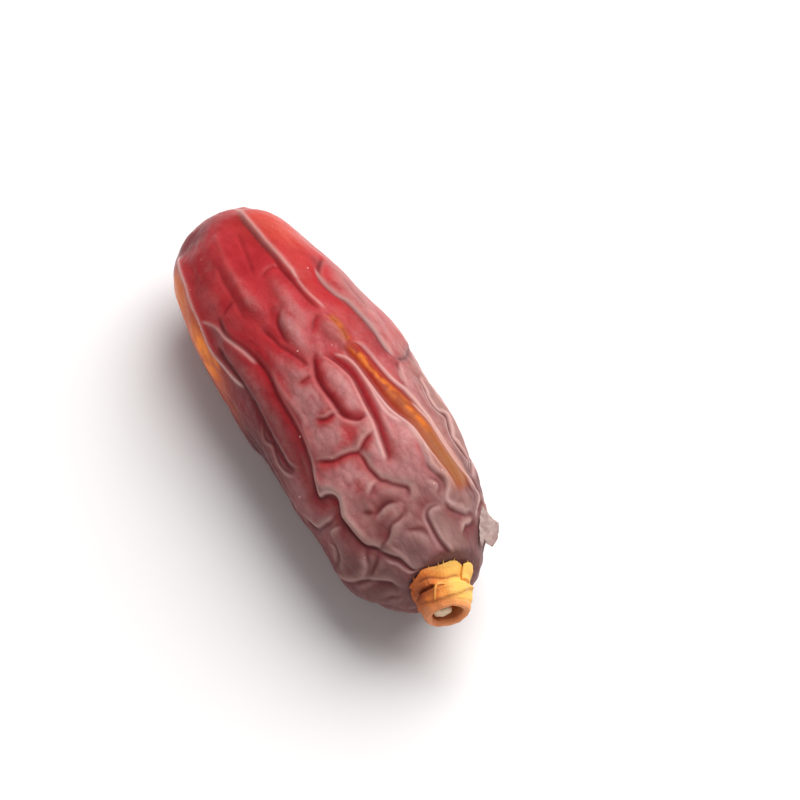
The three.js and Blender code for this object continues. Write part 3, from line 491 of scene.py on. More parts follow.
# Thin pale edges where the skin is stretched, drawn paler still as painted highlight: [strength, half width,
# [[x, degrees round], ...]]
PALE_LINES = [
    [1.50, 0.15, [[-23.2, -68], [-22.3, -64], [-21.5, -61], [-20, -58.7], [-18, -58], [-16, -60.2],
        [-14, -62], [-12, -64.5], [-10.5, -66.4], [-9, -66.4], [-7, -63.8], [-5, -61.5], [-3.4, -60]]],
    [0.55, 0.12, [[-13.4, -62], [-12.2, -56], [-11, -52], [-9.5, -50.6], [-8, -47.6], [-6, -44],
        [-4, -42]]],
    [0.70, 0.15, [[-24.2, 24], [-21.5, 13.5], [-20, 11], [-18, 9.6], [-16, 8.6], [-13, 9.4],
        [-9.5, 10.5]]],
    [0.45, 0.15, [[-10.5, 10.2], [-8.5, 10], [-6.5, 12], [-5, 14.5]]],
    [0.80, 0.13, [[8.2, 28.5], [9.6, 32], [11.1, 35], [14, 36.6], [16.4, 40], [17.9, 46], [18.8, 53],
        [19.6, 59], [21, 52], [22, 44]]],
    [0.50, 0.20, [[10.6, 16], [12.5, 17.5], [14.2, 16.6], [15.6, 15.2], [16.7, 17.4], [17.4, 21.5],
        [18.6, 20.5], [19.6, 16], [20.4, 18.5], [21, 23], [21.6, 38]]],
    [0.60, 0.16, [[-11, 28.5], [-9, 26.5], [-7, 28], [-5.5, 32], [-3.5, 34], [-1, 36], [1, 36],
        [2.9, 38.5]]],
    [0.70, 0.14, [[0.6, 70], [4.1, 61], [6.6, 59.5], [9.1, 59.5], [10.5, 64], [12.2, 65], [13.6, 69]]],
    [0.50, 0.13, [[3.9, 36], [5.4, 32.5], [6.5, 32]]],
    [0.50, 0.13, [[20.9, -48], [21.8, -45.5], [22.7, -40], [23.5, -33], [24.1, -28]]],
    [0.25, 0.22, [[19.7, 8], [19.5, 2], [19.6, -3], [20.5, -8], [21.9, -8], [23.2, -6]]],
    [0.65, 0.20, [[-0.2, 0.6], [1, 5.4], [2.5, 8], [5, 8.2], [8, 7.4], [9.4, 9.5], [10.6, 14]]],
]
# The orange crescent on the small bulge at the seam's start
CRESCENT = [[-4.6, 12.5], [-3.4, 14.6], [-2, 14.8], [-0.9, 13.2], [-0.2, 11.2]]

CREASE_RUN, RIDGE_RUN, PALE_RUN, SEAM_RUN = 1.6, 2.0, 1.0, 1.7    # each line fades at its ends
VALLEY_JOIN = 4        # the power of the mean that joins valleys
GROOVE = (0.5, 0.9)    # half widths between which a crease becomes a wide groove
FULLY_DARK = 0.6       # the depth from which on a crease is as dark as it gets
FINEST_LINE = 0.17     # no line may be thinner than the faces it is drawn on
# the pale edge of a plate is partly paler dry skin, partly painted highlight
PLATE_EDGE_AT = 0.55   # how far from its crease the edge of a plate is palest
PLATE_EDGE_WIDTH = 0.38
# strength and width of the painted highlight on a ridge's crest
HIGHLIGHT_ON_RIDGE = 0.40
RIDGE_LINE = 0.28
PALE_LINE_HEIGHT = 0.07
# the light on the seam's crest is a painted highlight
SEAM_CREST = 0.42      # half width of the light on the seam
NET_CELL = (6.2, 4.2, 4.2)       # mm between the seeds of the coarse net of wrinkles
FINE_CELL = (1.9, 1.15, 1.15)    # and of the fine one


def bell(distance, width, power=2):
    return np.exp(-(distance / width) ** power)


def keep_higher(skin, name, i, values):
    skin[name][i] = np.maximum(skin[name][i], values)


def patch(points, normals, x, degrees, length, breadth, turn):
    centre, behind, ahead = plain_fruit(np.array([x, x - 0.5, x + 0.5]), np.radians([degrees] * 3))
    axis = (ahead - behind) / np.linalg.norm(ahead - behind)
    off = points - centre
    u = off @ axis
    across = np.cross(normals, axis)
    v = np.sqrt(np.maximum(0, (off ** 2).sum(1) - u * u)) * np.sign((off * across).sum(1))
    cos, sin = math.cos(math.radians(turn)), math.sin(math.radians(turn))
    k = ((u * cos + v * sin) / length) ** 2 + ((v * cos - u * sin) / breadth) ** 2
    return np.exp(-(k ** 1.3))


def add_creases(rows, points, normals, skin):
    for depth, width, lip_above, lip_below, path in rows:
        line = smooth_line(path)
        i = close_to(points, line, 5 * width + 1.5)
        distance, above, along, length = nearest(points[i], normals[i], line)
        end = taper(along, length, CREASE_RUN)
        # the side with the higher lip falls more steeply, but less so in a wide groove
        lip = np.where(above, lip_above, lip_below)
        steep = lip / (lip_above + lip_below)
        steep = 0.5 + (steep - 0.5) * (1 - 0.7 * ramp(*GROOVE, width))
        wide = width * (1.5 - 1.1 * steep)
        near = 0.10 + 0.32 * wide
        # half of the valley is a sharp line, the other half a soft hollow round it
        valley = 0.5 * bell(distance, near, 1.6) + 0.5 * bell(distance, 0.3 + 1.7 * wide, 1.7)
        share = 0.54 - 0.24 * ramp(0.4, 0.9, width)
        skin["deep"][i] += (share * depth * end * valley) ** VALLEY_JOIN
        shelf = bell(distance, 0.9 + 1.3 * width, 1.6) * (1 - bell(distance, near))
        skin["raised"][i] += 0.75 * lip * end * shelf
        # what the finish needs to know: the dark line, painted as shade, the floor, and the pale edges beside
        # it, painted as highlight
        x = points[i, 0]
        stalk_end = ramp(12, 18, x)
        strength = end * min(1, depth / FULLY_DARK)
        line_width = 0.10 + 0.14 * min(width, 0.5) + 0.04 * stalk_end
        thin = np.maximum(0.5 * near, FINEST_LINE)
        edge = strength * bell(distance - near - thin, thin) * (1 - 0.5 * stalk_end)
        # the painted highlight on the edges shows mostly in the stalk half
        dry = 0.15 + 0.85 * ramp(-3, 7, x)
        # the pale band beside the crease on its lip side: painted highlight, partly paler dry skin
        broad = strength * ramp(5, 14, x) * bell(distance - PLATE_EDGE_AT, PLATE_EDGE_WIDTH)
        keep_higher(skin, "crease", i, strength * bell(distance, line_width))
        keep_higher(skin, "hollow", i, strength * bell(distance, 0.15 + 2.4 * wide * (1.1 - steep)))
        keep_higher(skin, "rim", i, edge * dry * ramp(0.45, 0.75, steep))
        keep_higher(skin, "plate", i, broad * ramp(0.3, 0.6, steep))


def add_ridges(rows, points, normals, skin):
    for height, width_above, width_below, path in rows:
        line = smooth_line(path)
        i = close_to(points, line, 4 * max(width_above, width_below))
        distance, above, along, length = nearest(points[i], normals[i], line)
        width = np.where(above, width_above, width_below)
        end = taper(along, length, RIDGE_RUN)
        skin["raised"][i] += height * end * bell(distance, width, 1.2)
        # a pale line on the ridge's crest: painted highlight
        rim = HIGHLIGHT_ON_RIDGE * ramp(0.15, 0.35, height) * end * bell(distance, RIDGE_LINE)
        keep_higher(skin, "rim", i, rim)


def add_pale_lines(rows, points, normals, skin):
    for strength, width, path in rows:
        line = smooth_line(path)
        i = close_to(points, line, 4 * width)
        distance, above, along, length = nearest(points[i], normals[i], line)
        # the pale line is partly stretched skin, partly painted highlight
        edge = strength * taper(along, length, PALE_RUN) * bell(distance, max(width, FINEST_LINE))
        skin["raised"][i] += PALE_LINE_HEIGHT * edge
        keep_higher(skin, "rim", i, edge)


def read_skin(points, normals):
    names = ("deep", "raised", "crease", "hollow", "rim", "plate", "puffed", "seam")
    skin = {name: np.zeros(len(points)) for name in names}
    add_creases(CREASES + SMALL_CREASES, points, normals, skin)
    add_ridges(RIDGES + SMALL_RIDGES, points, normals, skin)
    add_pale_lines(PALE_LINES, points, normals, skin)
    for height, x, degrees, length, breadth, turn in PILLOWS + SMALL_PILLOWS:
        swell = patch(points, normals, x, degrees, length, breadth, turn)
        skin["raised"] += height * swell
        skin["puffed"] = np.maximum(skin["puffed"], swell * min(1, height / 0.4) * (breadth < 2.7))
    distance, above, along, length = nearest(points, normals, smooth_line(SEAM))
    seam_width = SEAM_START + (SEAM_END - SEAM_START) * along / length
    skin["seam"] = taper(along, length, SEAM_RUN) * bell(distance, seam_width, 2.6)
    # a painted highlight along the seam's crest, on its ripe part only
    crest = np.where(above, distance, -distance) + 0.05
    ripe = 1 - ramp(10, 15, points[:, 0])
    skin["seam_highlight"] = skin["seam"] * bell(crest, SEAM_CREST) * ripe
    skin["raised"] += SEAM_HEIGHT * skin["seam"]
    return skin


def skin_height(points, around, skin):
    stalk_half = ramp(-14, 6, points[:, 0])
    net = (0.18 + 0.30 * stalk_half) * hidden_side(around) * net_crease(points, NET_CELL, 0.24)
    smooth_places = 1 - np.clip(skin["seam"] + skin["crease"], 0, 1)
    shaken = points + 0.5 * ripple(points, 1.2, 5.0)[:, None]
    fine = net_crease(shaken, FINE_CELL, 0.2) * smooth_places
    # the finish darkens these fine wrinkles with painted shade
    skin["fine"] = fine * stalk_half
    folds = skin["raised"] - skin["deep"] ** (1 / VALLEY_JOIN)
    return folds + waves(points) - net - (0.01 + 0.05 * stalk_half) * fine



print("small folds:", len(SMALL_CREASES))

# %% [markdown]
# ## Under the cap, and where the date lies
#
# The skin's end is a smooth slope where the cap sits on it, and the belly is pressed flat where it
# rests. Both could be cut with a boolean. Moving the points keeps the mesh whole and even, so the
# skin runs smoothly from the folds to the seat. The cap's own frame is worked out here as well: its
# Z is the cap's axis, its Y points upwards, and the foot of the cap follows the slope.

# %% The cap's frame, its seat and the flat spot
SEAT = np.array([25.02, -2.06, 10.53])
CAP_AXIS = np.array([0.945, -0.318, -0.07])
CAP_AXIS /= np.linalg.norm(CAP_AXIS)
SEAT_GAP = 0.08        # the cap's foot is this far over the skin
SEAT_RADIUS = 4.1      # the skin is a smooth slope out to here
SEAT_EDGE = 5.2        # and is its own shape again from here
SEAT_DEPTH = 6.0       # no skin further than this behind the seat belongs to it
SEAT_SLOPE = (-0.23, -0.30)    # the seat's rise across and above the cap's axis
SLOPE_HEIGHT = 2.6     # the cap's pieces are level again at this height
CALM = (3.1, 4.4)      # distances from the cap between which the folds set in
CALM_DEPTH = 3.0
FLAT_SPOT = (13.0, 5.0)    # no folds within this ellipse round the flat spot
TIP_CALM = 2.4         # the folds fade within this distance of the blossom tip
cap_across = np.cross([0, 0, 1], CAP_AXIS)
cap_across /= np.linalg.norm(cap_across)
cap_turn = np.array([cap_across, np.cross(CAP_AXIS, cap_across), CAP_AXIS])


def to_cap(points):
    return (points - SEAT) @ cap_turn.T


def from_cap(points):
    return np.asarray(points) @ cap_turn + SEAT


def on_cap(points):
    local = np.array(points, float)
    local[:, 2] += local[:, :2] @ SEAT_SLOPE * np.maximum(0, 1 - local[:, 2] / SLOPE_HEIGHT)
    return from_cap(local)


def smooth_seat(points):
    local = to_cap(points)
    radius = np.hypot(local[:, 0], local[:, 1])
    under = (local[:, 2] > -SEAT_DEPTH) & (radius < SEAT_EDGE)
    share = ramp(SEAT_RADIUS, SEAT_EDGE, radius)
    seat = local[:, :2] @ SEAT_SLOPE - SEAT_GAP
    local[:, 2] = np.where(under, seat + (local[:, 2] - seat) * share, local[:, 2])
    return from_cap(local)


def clear_of_cap(points):
    local = to_cap(points)
    below = np.minimum(0, local[:, 2] + CALM_DEPTH)
    return ramp(*CALM, np.sqrt(local[:, 0] ** 2 + local[:, 1] ** 2 + below ** 2))


def clear_of_flat_spot(points):
    way = np.hypot(points[:, 0] / FLAT_SPOT[0], points[:, 1] / FLAT_SPOT[1])
    return np.where(points[:, 2] > AXIS_HEIGHT, 1, ramp(0.6, 1.3, way))


def clear_of_tip(points):
    return ramp(0.2, 1, np.linalg.norm(points - (-HALF, 0, AXIS_HEIGHT), axis=1) / TIP_CALM)


print("cap points towards", np.round(CAP_AXIS, 2))

# %% [markdown]
# ## The mesh of the skin
#
# The skin is one closed mesh of rings from pole to pole. Nearly three quarters of its columns lie
# on the back, where the folds are, so that the thinnest crease is still several faces wide. A
# sculpted mesh would need millions of faces for this; a grid with its points where they matter
# stays small. What each point is goes with it as named attributes, which the material reads.

# %% Helpers that turn points and faces into a finished piece
def grid_faces(rows, columns):
    index = np.arange(rows * columns).reshape(rows, columns)
    low, high = index[:-1], index[1:]
    return np.stack([low, np.roll(low, -1, 1), np.roll(high, -1, 1), high], -1).reshape(-1, 4).tolist()


def pole_faces(rows, columns):
    first, last = rows * columns, rows * columns + 1
    end = (rows - 1) * columns
    return ([[first, (j + 1) % columns, j] for j in range(columns)]
            + [[last, end + j, end + (j + 1) % columns] for j in range(columns)])


def add_attribute(mesh, name, values):
    kind, field = ("FLOAT_VECTOR", "vector") if np.ndim(values) == 2 else ("FLOAT", "value")
    mesh.attributes.new(name, kind, "POINT").data.foreach_set(field, np.ravel(values))


def make_piece(name, points, faces, masks=None):
    mesh = bpy.data.meshes.new(name)
    mesh.from_pydata((np.asarray(points) * MM).tolist(), [], faces)
    for mask, values in (masks or {}).items():
        add_attribute(mesh, mask, values)
    work = bmesh.new()
    work.from_mesh(mesh)
    bmesh.ops.remove_doubles(work, verts=work.verts, dist=1e-7)
    bmesh.ops.recalc_face_normals(work, faces=work.faces)
    work.to_mesh(mesh)
    work.free()
    mesh.polygons.foreach_set("use_smooth", [True] * len(mesh.polygons))
    piece = bpy.data.objects.new(name, mesh)
    scene.collection.objects.link(piece)
    print(name, "has", len(mesh.polygons), "faces")
    return piece


# %% Stations along the fruit and columns round it
RINGS = 330
BACK_COLUMNS = 214
BELLY_COLUMNS = 80
BACK_FROM, BACK_TO = -105, 85    # degrees round the fruit
MEAN_RADIUS = 9.45


def even_stations(count):
    x = -HALF * np.cos(np.linspace(0, np.pi, 4001))
    radius = MEAN_RADIUS * (fullness(x, FLANK_PLUS) + fullness(x, FLANK_MINUS)) / 2
    way = np.concatenate([[0], np.cumsum(np.hypot(np.diff(x), np.diff(radius)))])
    return np.interp(np.linspace(0, way[-1], count), way, x)


columns = np.radians(np.concatenate([
    np.linspace(BACK_FROM, BACK_TO, BACK_COLUMNS, endpoint=False),
    np.linspace(BACK_TO, BACK_FROM + 360, BELLY_COLUMNS, endpoint=False)]))
stations = even_stations(RINGS + 1)[1:-1]
x_grid, around_grid = (grid.ravel() for grid in np.meshgrid(stations, columns, indexing="ij"))
plain_points = plain_fruit(x_grid, around_grid)
plain_normals = outward(x_grid, around_grid)
print(len(plain_points), "points of skin")

# %% [markdown]
# ## Lift the points into folds
#
# Where a thin lip crosses the grid at a slant, its height jumps from point to point and the edge
# looks like a zip. More points would hide that at a cost. Softening only the places where a point
# stands out from its neighbours does it too, and leaves every broad shape as it was.

# %% Shape the skin
STEPS = (0.006, 0.025)    # mm that a point stands out from its neighbours, from kept to softened


def soften_steps(height):
    grid = height.reshape(len(stations), len(columns)).copy()
    for _ in range(2):
        soft = (np.roll(grid, 1, 1) + 2 * grid + np.roll(grid, -1, 1)) / 4
        soft[1:-1] = (soft[:-2] + 2 * soft[1:-1] + soft[2:]) / 4
        grid += ramp(*STEPS, np.abs(soft - grid)) * (soft - grid)
    return grid.ravel()


skin = read_skin(plain_points, plain_normals)
calm = clear_of_cap(plain_points) * clear_of_flat_spot(plain_points) * clear_of_tip(plain_points)
height = soften_steps(skin_height(plain_points, around_grid, skin) * calm)
skin_points = smooth_seat(plain_points) + plain_normals * height[:, None]
skin_points[:, 2] = np.maximum(0, skin_points[:, 2])
poles = smooth_seat(plain_fruit(np.array([-HALF, HALF]), np.zeros(2)))
print("skin stands", round(height.max(), 2), "mm out and", round(-height.min(), 2), "mm in")

# %% [markdown]
# ## What colours the skin
#
# Under a lamp a ripe date isn't one red. Its blossom half is clear ruby, warmer over one shoulder. A
# mauve bloom of dried sugar lies on all that stands up in the stalk half. Along one flank the skin
# is so thin that light makes it amber. Painting these places by hand would give a picture to store.
# A few soft patches, placed as the folds are, give the same and stay easy to move.

# %% Soft patches of colour
# each: strength, x, degrees round, half length, half breadth, turn
PATCHES = {
    "amber": [
        [0.50, -19.4, -80, 2.6, 1.5, 6], [1.10, -12.0, -78, 2.2, 1.1, 6], [0.90, -9.4, -84, 1.6, 0.8, 20],
        [0.60, -9.0, -72, 1.0, 0.5, 0]],
    "thin": [
        [1.10, -19.2, -80, 3.4, 3.0, 6], [1.10, -14.5, -83, 4.6, 2.8, 4], [0.75, -9.0, -86, 3.6, 2.4, 0],
        [0.30, -4.0, -92, 4.0, 2.0, 0]],
    "papery": [
        [1.00, 9.5, 54, 6.0, 2.4, 6], [0.80, 4.5, 60, 5.0, 2.6, 4], [0.20, 20.5, 50, 3.0, 2.4, 0],
        [0.40, -7.5, 45, 4.8, 1.5, -10], [0.60, 21.4, 9, 1.2, 1.1, 0], [0.50, 23.2, 15, 1.1, 1.4, 0],
        [0.45, 16.2, -16, 1.0, 0.8, 0], [0.70, 17.3, 24, 3.6, 0.9, 10]],
    "shady": [
        [1.00, 2.0, -98, 9.5, 5.6, 0], [0.80, 14.0, -104, 8.0, 4.4, 0], [0.55, -23.6, -44, 2.2, 3.0, 0],
        [0.40, 18.0, -76, 5.0, 2.4, 0], [0.42, 19.0, 61, 4.6, 2.2, 0], [0.34, 22.4, 32, 1.6, 1.8, 0]],
    # a patch of painted shade on the stalk half's right flank, near the loose scale
    "old_end_and_shade": [[1.20, 18.5, 56, 6.0, 3.6, 0]],
    "warm": [
        [1.00, -18.0, 32, 5.0, 3.2, 0], [0.55, -10.5, 20, 3.6, 1.4, -6], [0.35, -4.0, 26, 4.0, 1.2, 0],
        [0.45, 18.5, -46, 2.2, 1.4, 20], [0.50, 22.6, -36, 0.8, 1.6, 0], [0.55, 23.9, -4, 0.6, 1.0, 0],
        [0.40, 11.0, 47, 3.0, 0.8, 0]],
    "bare": [
        [1.00, 8.8, -17, 1.6, 1.0, 0], [0.90, 12.6, -21, 2.0, 1.0, 20], [0.80, 9.9, -27, 1.0, 1.5, 0],
        [0.80, 5.6, -24, 0.9, 1.2, 0], [0.90, 14.2, -31, 1.7, 1.1, 30], [0.70, 1.6, -14, 1.2, 0.8, 0],
        [0.80, -5.0, -21, 4.0, 1.0, 4], [0.50, 16.8, -33, 1.2, 1.2, 0]],
    "dusty": [
        [0.32, -8.4, -3, 3.6, 0.75, 0], [0.40, -5.4, -12, 2.6, 0.7, 0], [0.36, -11.8, -23, 5.6, 0.7, 3],
        [0.24, -10.0, -45, 9.0, 1.2, 0], [0.45, -4.0, -56, 7.0, 1.6, 0], [0.22, -15.5, -33, 5.0, 0.8, 6],
        [0.45, -8.0, 52, 6.0, 2.6, 0], [0.28, 3.0, -28, 3.5, 2.2, 0], [0.90, 12.8, 3, 4.2, 1.9, 0]],
}


def blend_patches(name):
    total = np.zeros(len(plain_points))
    for strength, *spot in PATCHES[name]:
        total = np.maximum(total, strength * patch(plain_points, plain_normals, *spot))
    return np.clip(total, 0, 1)


print({name: len(rows) for name, rows in PATCHES.items()})

# %% Masks that the finish reads
# crease and fine mark where painted shade goes; rim and plate mark where painted highlight goes
masks = {name: np.clip(skin[name], 0, 1)
         for name in ("crease", "rim", "plate", "seam", "fine", "seam_highlight")}
x_place, degrees = plain_points[:, 0], (np.degrees(around_grid) + 180) % 360 - 180
stalk_share = ramp(-15, 15, x_place)
# creases are deep red on the clear back; where old or papery skin lies round them, their hollows are darkened
# maroon as painted shade
clear_back = ramp(-56, -40, degrees) * (1 - ramp(24, 36, degrees)) * (1 - 0.85 * ramp(11, 18, x_place))
masks["hollow"] = np.clip(skin["hollow"], 0, 1) * clear_back
masks["dull_hollow"] = np.clip(skin["hollow"], 0, 1) * (1 - clear_back)
# the thin flank ends at the first pale line
distance, above, along, length = nearest(plain_points, plain_normals, smooth_line(PALE_LINES[0][2]))
below_line = np.where(above, 0, ramp(0.1, 0.5, distance))
thin_side = below_line * ramp(-24.2, -20.6, x_place) * (1 - ramp(-5, 0, x_place))
masks["amber"] = thin_side * blend_patches("amber")
masks["thin"] = thin_side * blend_patches("thin")
for name in ("warm", "papery", "shady"):
    masks[name] = blend_patches(name)
masks["puffed"] = np.clip(skin["puffed"], 0, 1) * (0.1 + 0.9 * stalk_share)
bloom = (0.80 * stalk_share + 0.45 * skin["puffed"] * stalk_share + 0.9 * blend_patches("dusty")
         + (0.12 + 0.30 * stalk_share) * ripple(plain_points, 2.4, 9.1)
         + 0.34 * hidden_side(around_grid) * (0.5 + ripple(plain_points, 3.6, 2.2)))
bare = np.maximum.reduce([skin["hollow"], blend_patches("bare"), 0.8 * masks["shady"]])
masks["bloom"] = np.clip(bloom * (1 - 0.85 * bare), 0, 1)
# grey of old skin towards the stalk end, darkened further as painted shade where light falls off there
masks["old_end_and_shade"] = np.maximum(ramp(12, 23, x_place), blend_patches("old_end_and_shade"))
distance, above, along, length = nearest(plain_points, plain_normals, smooth_line(CRESCENT))
crescent = taper(along, length, 1.2) * bell(distance, 0.55, 2.4)
masks["seam_orange"] = np.maximum(masks["seam"] * ramp(4.0, 8.5, x_place), crescent)
# the crescent gets part of the painted highlight too
masks["seam_highlight"] = np.maximum(masks["seam_highlight"], 0.6 * crescent)
masks["seam_tan"] = masks["seam"] * ramp(8, 17, x_place)
for name in masks:
    masks[name] = np.append(masks[name], [0, 0])    # at the two poles
print({name: round(float(values.mean()), 2) for name, values in masks.items()})

# %% Make the fruit
grid = len(stations), len(columns)
fruit = make_piece("date_skin", np.vstack([skin_points, poles]), grid_faces(*grid) + pole_faces(*grid), masks)

# %% [markdown]
# ## Two effects that several finishes share
# Skin, straw and pith are all uneven in colour, and the dry pieces show fibres that run from foot
# to tip. Each effect is a group of nodes with its own named sliders, built once and placed
# in every material that needs it. A group puts out a mask only; the colours stay in the material.

# %% Helpers for node trees
def place(tree, kind, inputs=None, **settings):
    made = tree.nodes.new(kind)
    for name, value in settings.items():
        setattr(made, name, value)
    for name, value in (inputs or {}).items():
        made.inputs[name].default_value = value
    return made


def link_all(tree, *pairs):
    for source, target in pairs:
        tree.links.new(source, target)


def new_tree(name, kind, inputs, output):
    tree = bpy.data.node_groups.new(name, kind)
    for socket, value_kind, value in inputs:
        made = tree.interface.new_socket(name=socket, in_out="INPUT", socket_type="NodeSocket" + value_kind)
        if value is not None:
            made.default_value = value
    tree.interface.new_socket(name=output[0], in_out="OUTPUT", socket_type="NodeSocket" + output[1])
    return tree, place(tree, "NodeGroupInput").outputs, place(tree, "NodeGroupOutput").inputs


def use_group(tree, group, vector, values):
    made = place(tree, "ShaderNodeGroup", values, node_tree=group)
    tree.links.new(vector, made.inputs["Vector"])
    return made.outputs["Mask"]


def new_material(name, roughness):
    material = bpy.data.materials.new(name)
    material.use_nodes = True
    tree = material.node_tree
    shader = tree.nodes["Principled BSDF"]
    shader.inputs["Roughness"].default_value = roughness
    return material, tree, shader.inputs


def maths(tree, operation, first, second):
    made = place(tree, "ShaderNodeMath", operation=operation, use_clamp=True)
    for socket, value in zip(made.inputs, (first, second)):
        if isinstance(value, (int, float)):
            socket.default_value = value
        else:
            tree.links.new(value, socket)
    return made.outputs[0]


def layer(tree, below, colour, mask, strength=1.0):
    made = place(tree, "ShaderNodeMix", {7: (*colour, 1)}, data_type="RGBA")
    if isinstance(below, tuple):
        made.inputs[6].default_value = (*below, 1)
    else:
        tree.links.new(below, made.inputs[6])
    tree.links.new(maths(tree, "MULTIPLY", mask, strength), made.inputs[0])
    return made.outputs[2]


def rough_where(tree, mask, clean, covered, shader):
    rough = place(tree, "ShaderNodeMapRange", {"To Min": clean, "To Max": covered})
    link_all(tree, (mask, rough.inputs["Value"]), (rough.outputs[0], shader["Roughness"]))


print("helpers for node trees are ready")

# %% The group that mottles a surface
mottle, start, end = new_tree("mottle", "ShaderNodeTree", [
    ("Vector", "Vector", None), ("Size in mm", "Float", 3.0), ("Detail", "Float", 4.0),
    ("From", "Float", 0.4), ("To", "Float", 0.6)], ("Mask", "Float"))
per_metre = place(mottle, "ShaderNodeMath", {0: 1 / MM}, operation="DIVIDE")
noise = place(mottle, "ShaderNodeTexNoise")
spread = place(mottle, "ShaderNodeMapRange", interpolation_type="SMOOTHSTEP")
link_all(mottle, (start["Size in mm"], per_metre.inputs[1]), (start["Vector"], noise.inputs["Vector"]),
         (per_metre.outputs[0], noise.inputs["Scale"]), (start["Detail"], noise.inputs["Detail"]),
         (noise.outputs[0], spread.inputs["Value"]), (start["From"], spread.inputs["From Min"]),
         (start["To"], spread.inputs["From Max"]), (spread.outputs[0], end["Mask"]))


def mottled(tree, where, size, start, full, **more):
    return use_group(tree, mottle, where, {"Size in mm": size, "From": start, "To": full, **more})


print("group:", mottle.name, [socket.name for socket in mottle.interface.items_tree])

# %% The group that draws dry fibres
fibres, start, end = new_tree("dry fibres", "ShaderNodeTree", [
    ("Vector", "Vector", None), ("Width in mm", "Float", 0.15), ("Length", "Float", 10.0)], ("Mask", "Float"))
stretch = place(fibres, "ShaderNodeVectorMath", operation="DIVIDE")
shape = place(fibres, "ShaderNodeCombineXYZ", {0: 1, 1: 1})
per_mm = place(fibres, "ShaderNodeMath", {0: 1}, operation="DIVIDE")
noise = place(fibres, "ShaderNodeTexNoise", {"Detail": 3})
spread = place(fibres, "ShaderNodeMapRange", {"From Min": 0.36, "From Max": 0.64},
               interpolation_type="SMOOTHSTEP")
link_all(fibres, (start["Length"], shape.inputs[2]), (start["Vector"], stretch.inputs[0]),
         (shape.outputs[0], stretch.inputs[1]), (stretch.outputs[0], noise.inputs["Vector"]),
         (start["Width in mm"], per_mm.inputs[1]), (per_mm.outputs[0], noise.inputs["Scale"]),
         (noise.outputs[0], spread.inputs["Value"]), (spread.outputs[0], end["Mask"]))
print("group:", fibres.name, [socket.name for socket in fibres.interface.items_tree])

# %% [markdown]
# ## The ripe skin's finish
#
# The colour is laid on as a painter would: ruby first, then the warm shoulder, the mauve bloom, the
# painted shade of the creases and of the shady flank, and last the amber of the seam and of the thin
# flank, which is partly painted light shining through it; painted highlights go on rims, plate edges
# and the seam's crest. The flesh below lets some light through, so a little subsurface scattering
# softens the folds. Bloom is matt and bare skin is glossy, so the bloom's mask drives the roughness as
# well as the colour.

# %% Colours of the skin
RUBY = (0.45, 0.030, 0.036)
DEEP_RUBY = (0.31, 0.013, 0.019)
CORAL = (0.62, 0.080, 0.046)
MAUVE = (0.44, 0.175, 0.172)
PINK_MAUVE = (0.56, 0.265, 0.255)
# grey of old skin at the stalk end, dark enough to be painted shade as well
ASH_AND_SHADE = (0.155, 0.088, 0.083)
HOLLOW_RED = (0.40, 0.014, 0.022)
# painted shade in the hollows off the clear back
MAROON_SHADE = (0.17, 0.040, 0.046)
# painted shade of the crease lines and of the fine wrinkles
CREASE_SHADE = (0.09, 0.012, 0.014)
SEAM_RED = (0.30, 0.022, 0.006)
SEAM_ORANGE = (0.35, 0.080, 0.015)
SEAM_TAN = (0.30, 0.108, 0.038)
# painted highlight on the seam's crest
SEAM_HIGHLIGHT = (0.66, 0.165, 0.016)
# the thin flank's own orange and amber, brightened as painted light shining through it
THIN_ORANGE_BACKLIT = (0.66, 0.115, 0.020)
AMBER_BACKLIT = (1.0, 0.26, 0.005)
# painted glow: emission standing in for light that shines through the thin flank
PAINTED_THIN_GLOW = (0.045, 0.006, 0.001)
PAINTED_AMBER_GLOW = (0.15, 0.038, 0.002)
PAPER = (0.31, 0.168, 0.138)
SHADE = (0.080, 0.006, 0.010)
# painted highlight on the rims of folds and ridges, and the pale of stretched skin along the pale lines
PALE_RIM_HIGHLIGHT = (0.80, 0.52, 0.48)
# painted highlight along the lips of plates, partly paler dry skin
PLATE_EDGE_HIGHLIGHT = (0.42, 0.240, 0.215)

skin_material, tree, shader = new_material("ripe date skin", 0.34)
where = place(tree, "ShaderNodeTexCoord").outputs["Object"]
mask = {name: place(tree, "ShaderNodeAttribute", attribute_name=name).outputs["Fac"] for name in masks}
coarse = mottled(tree, where, 3.4, 0.40, 0.62)
cloudy = mottled(tree, where, 1.3, 0.38, 0.62)
grainy = mottled(tree, where, 0.30, 0.42, 0.66)
flaky = mottled(tree, where, 1.9, 0.47, 0.54, Detail=7.0)
# flecks that break up the painted highlight on the seam
highlight_flecks = mottled(tree, where, 1.5, 0.42, 0.62, Detail=1.5)
print("skin has", len(masks), "masks")

# %% Lay the colours on
def both(first, second):
    return maths(tree, "MULTIPLY", first, second)


bloomy = place(tree, "ShaderNodeMapRange", {"From Min": 0.05, "From Max": 0.95},
               interpolation_type="SMOOTHSTEP")
tree.links.new(mask["bloom"], bloomy.inputs["Value"])
colour = RUBY
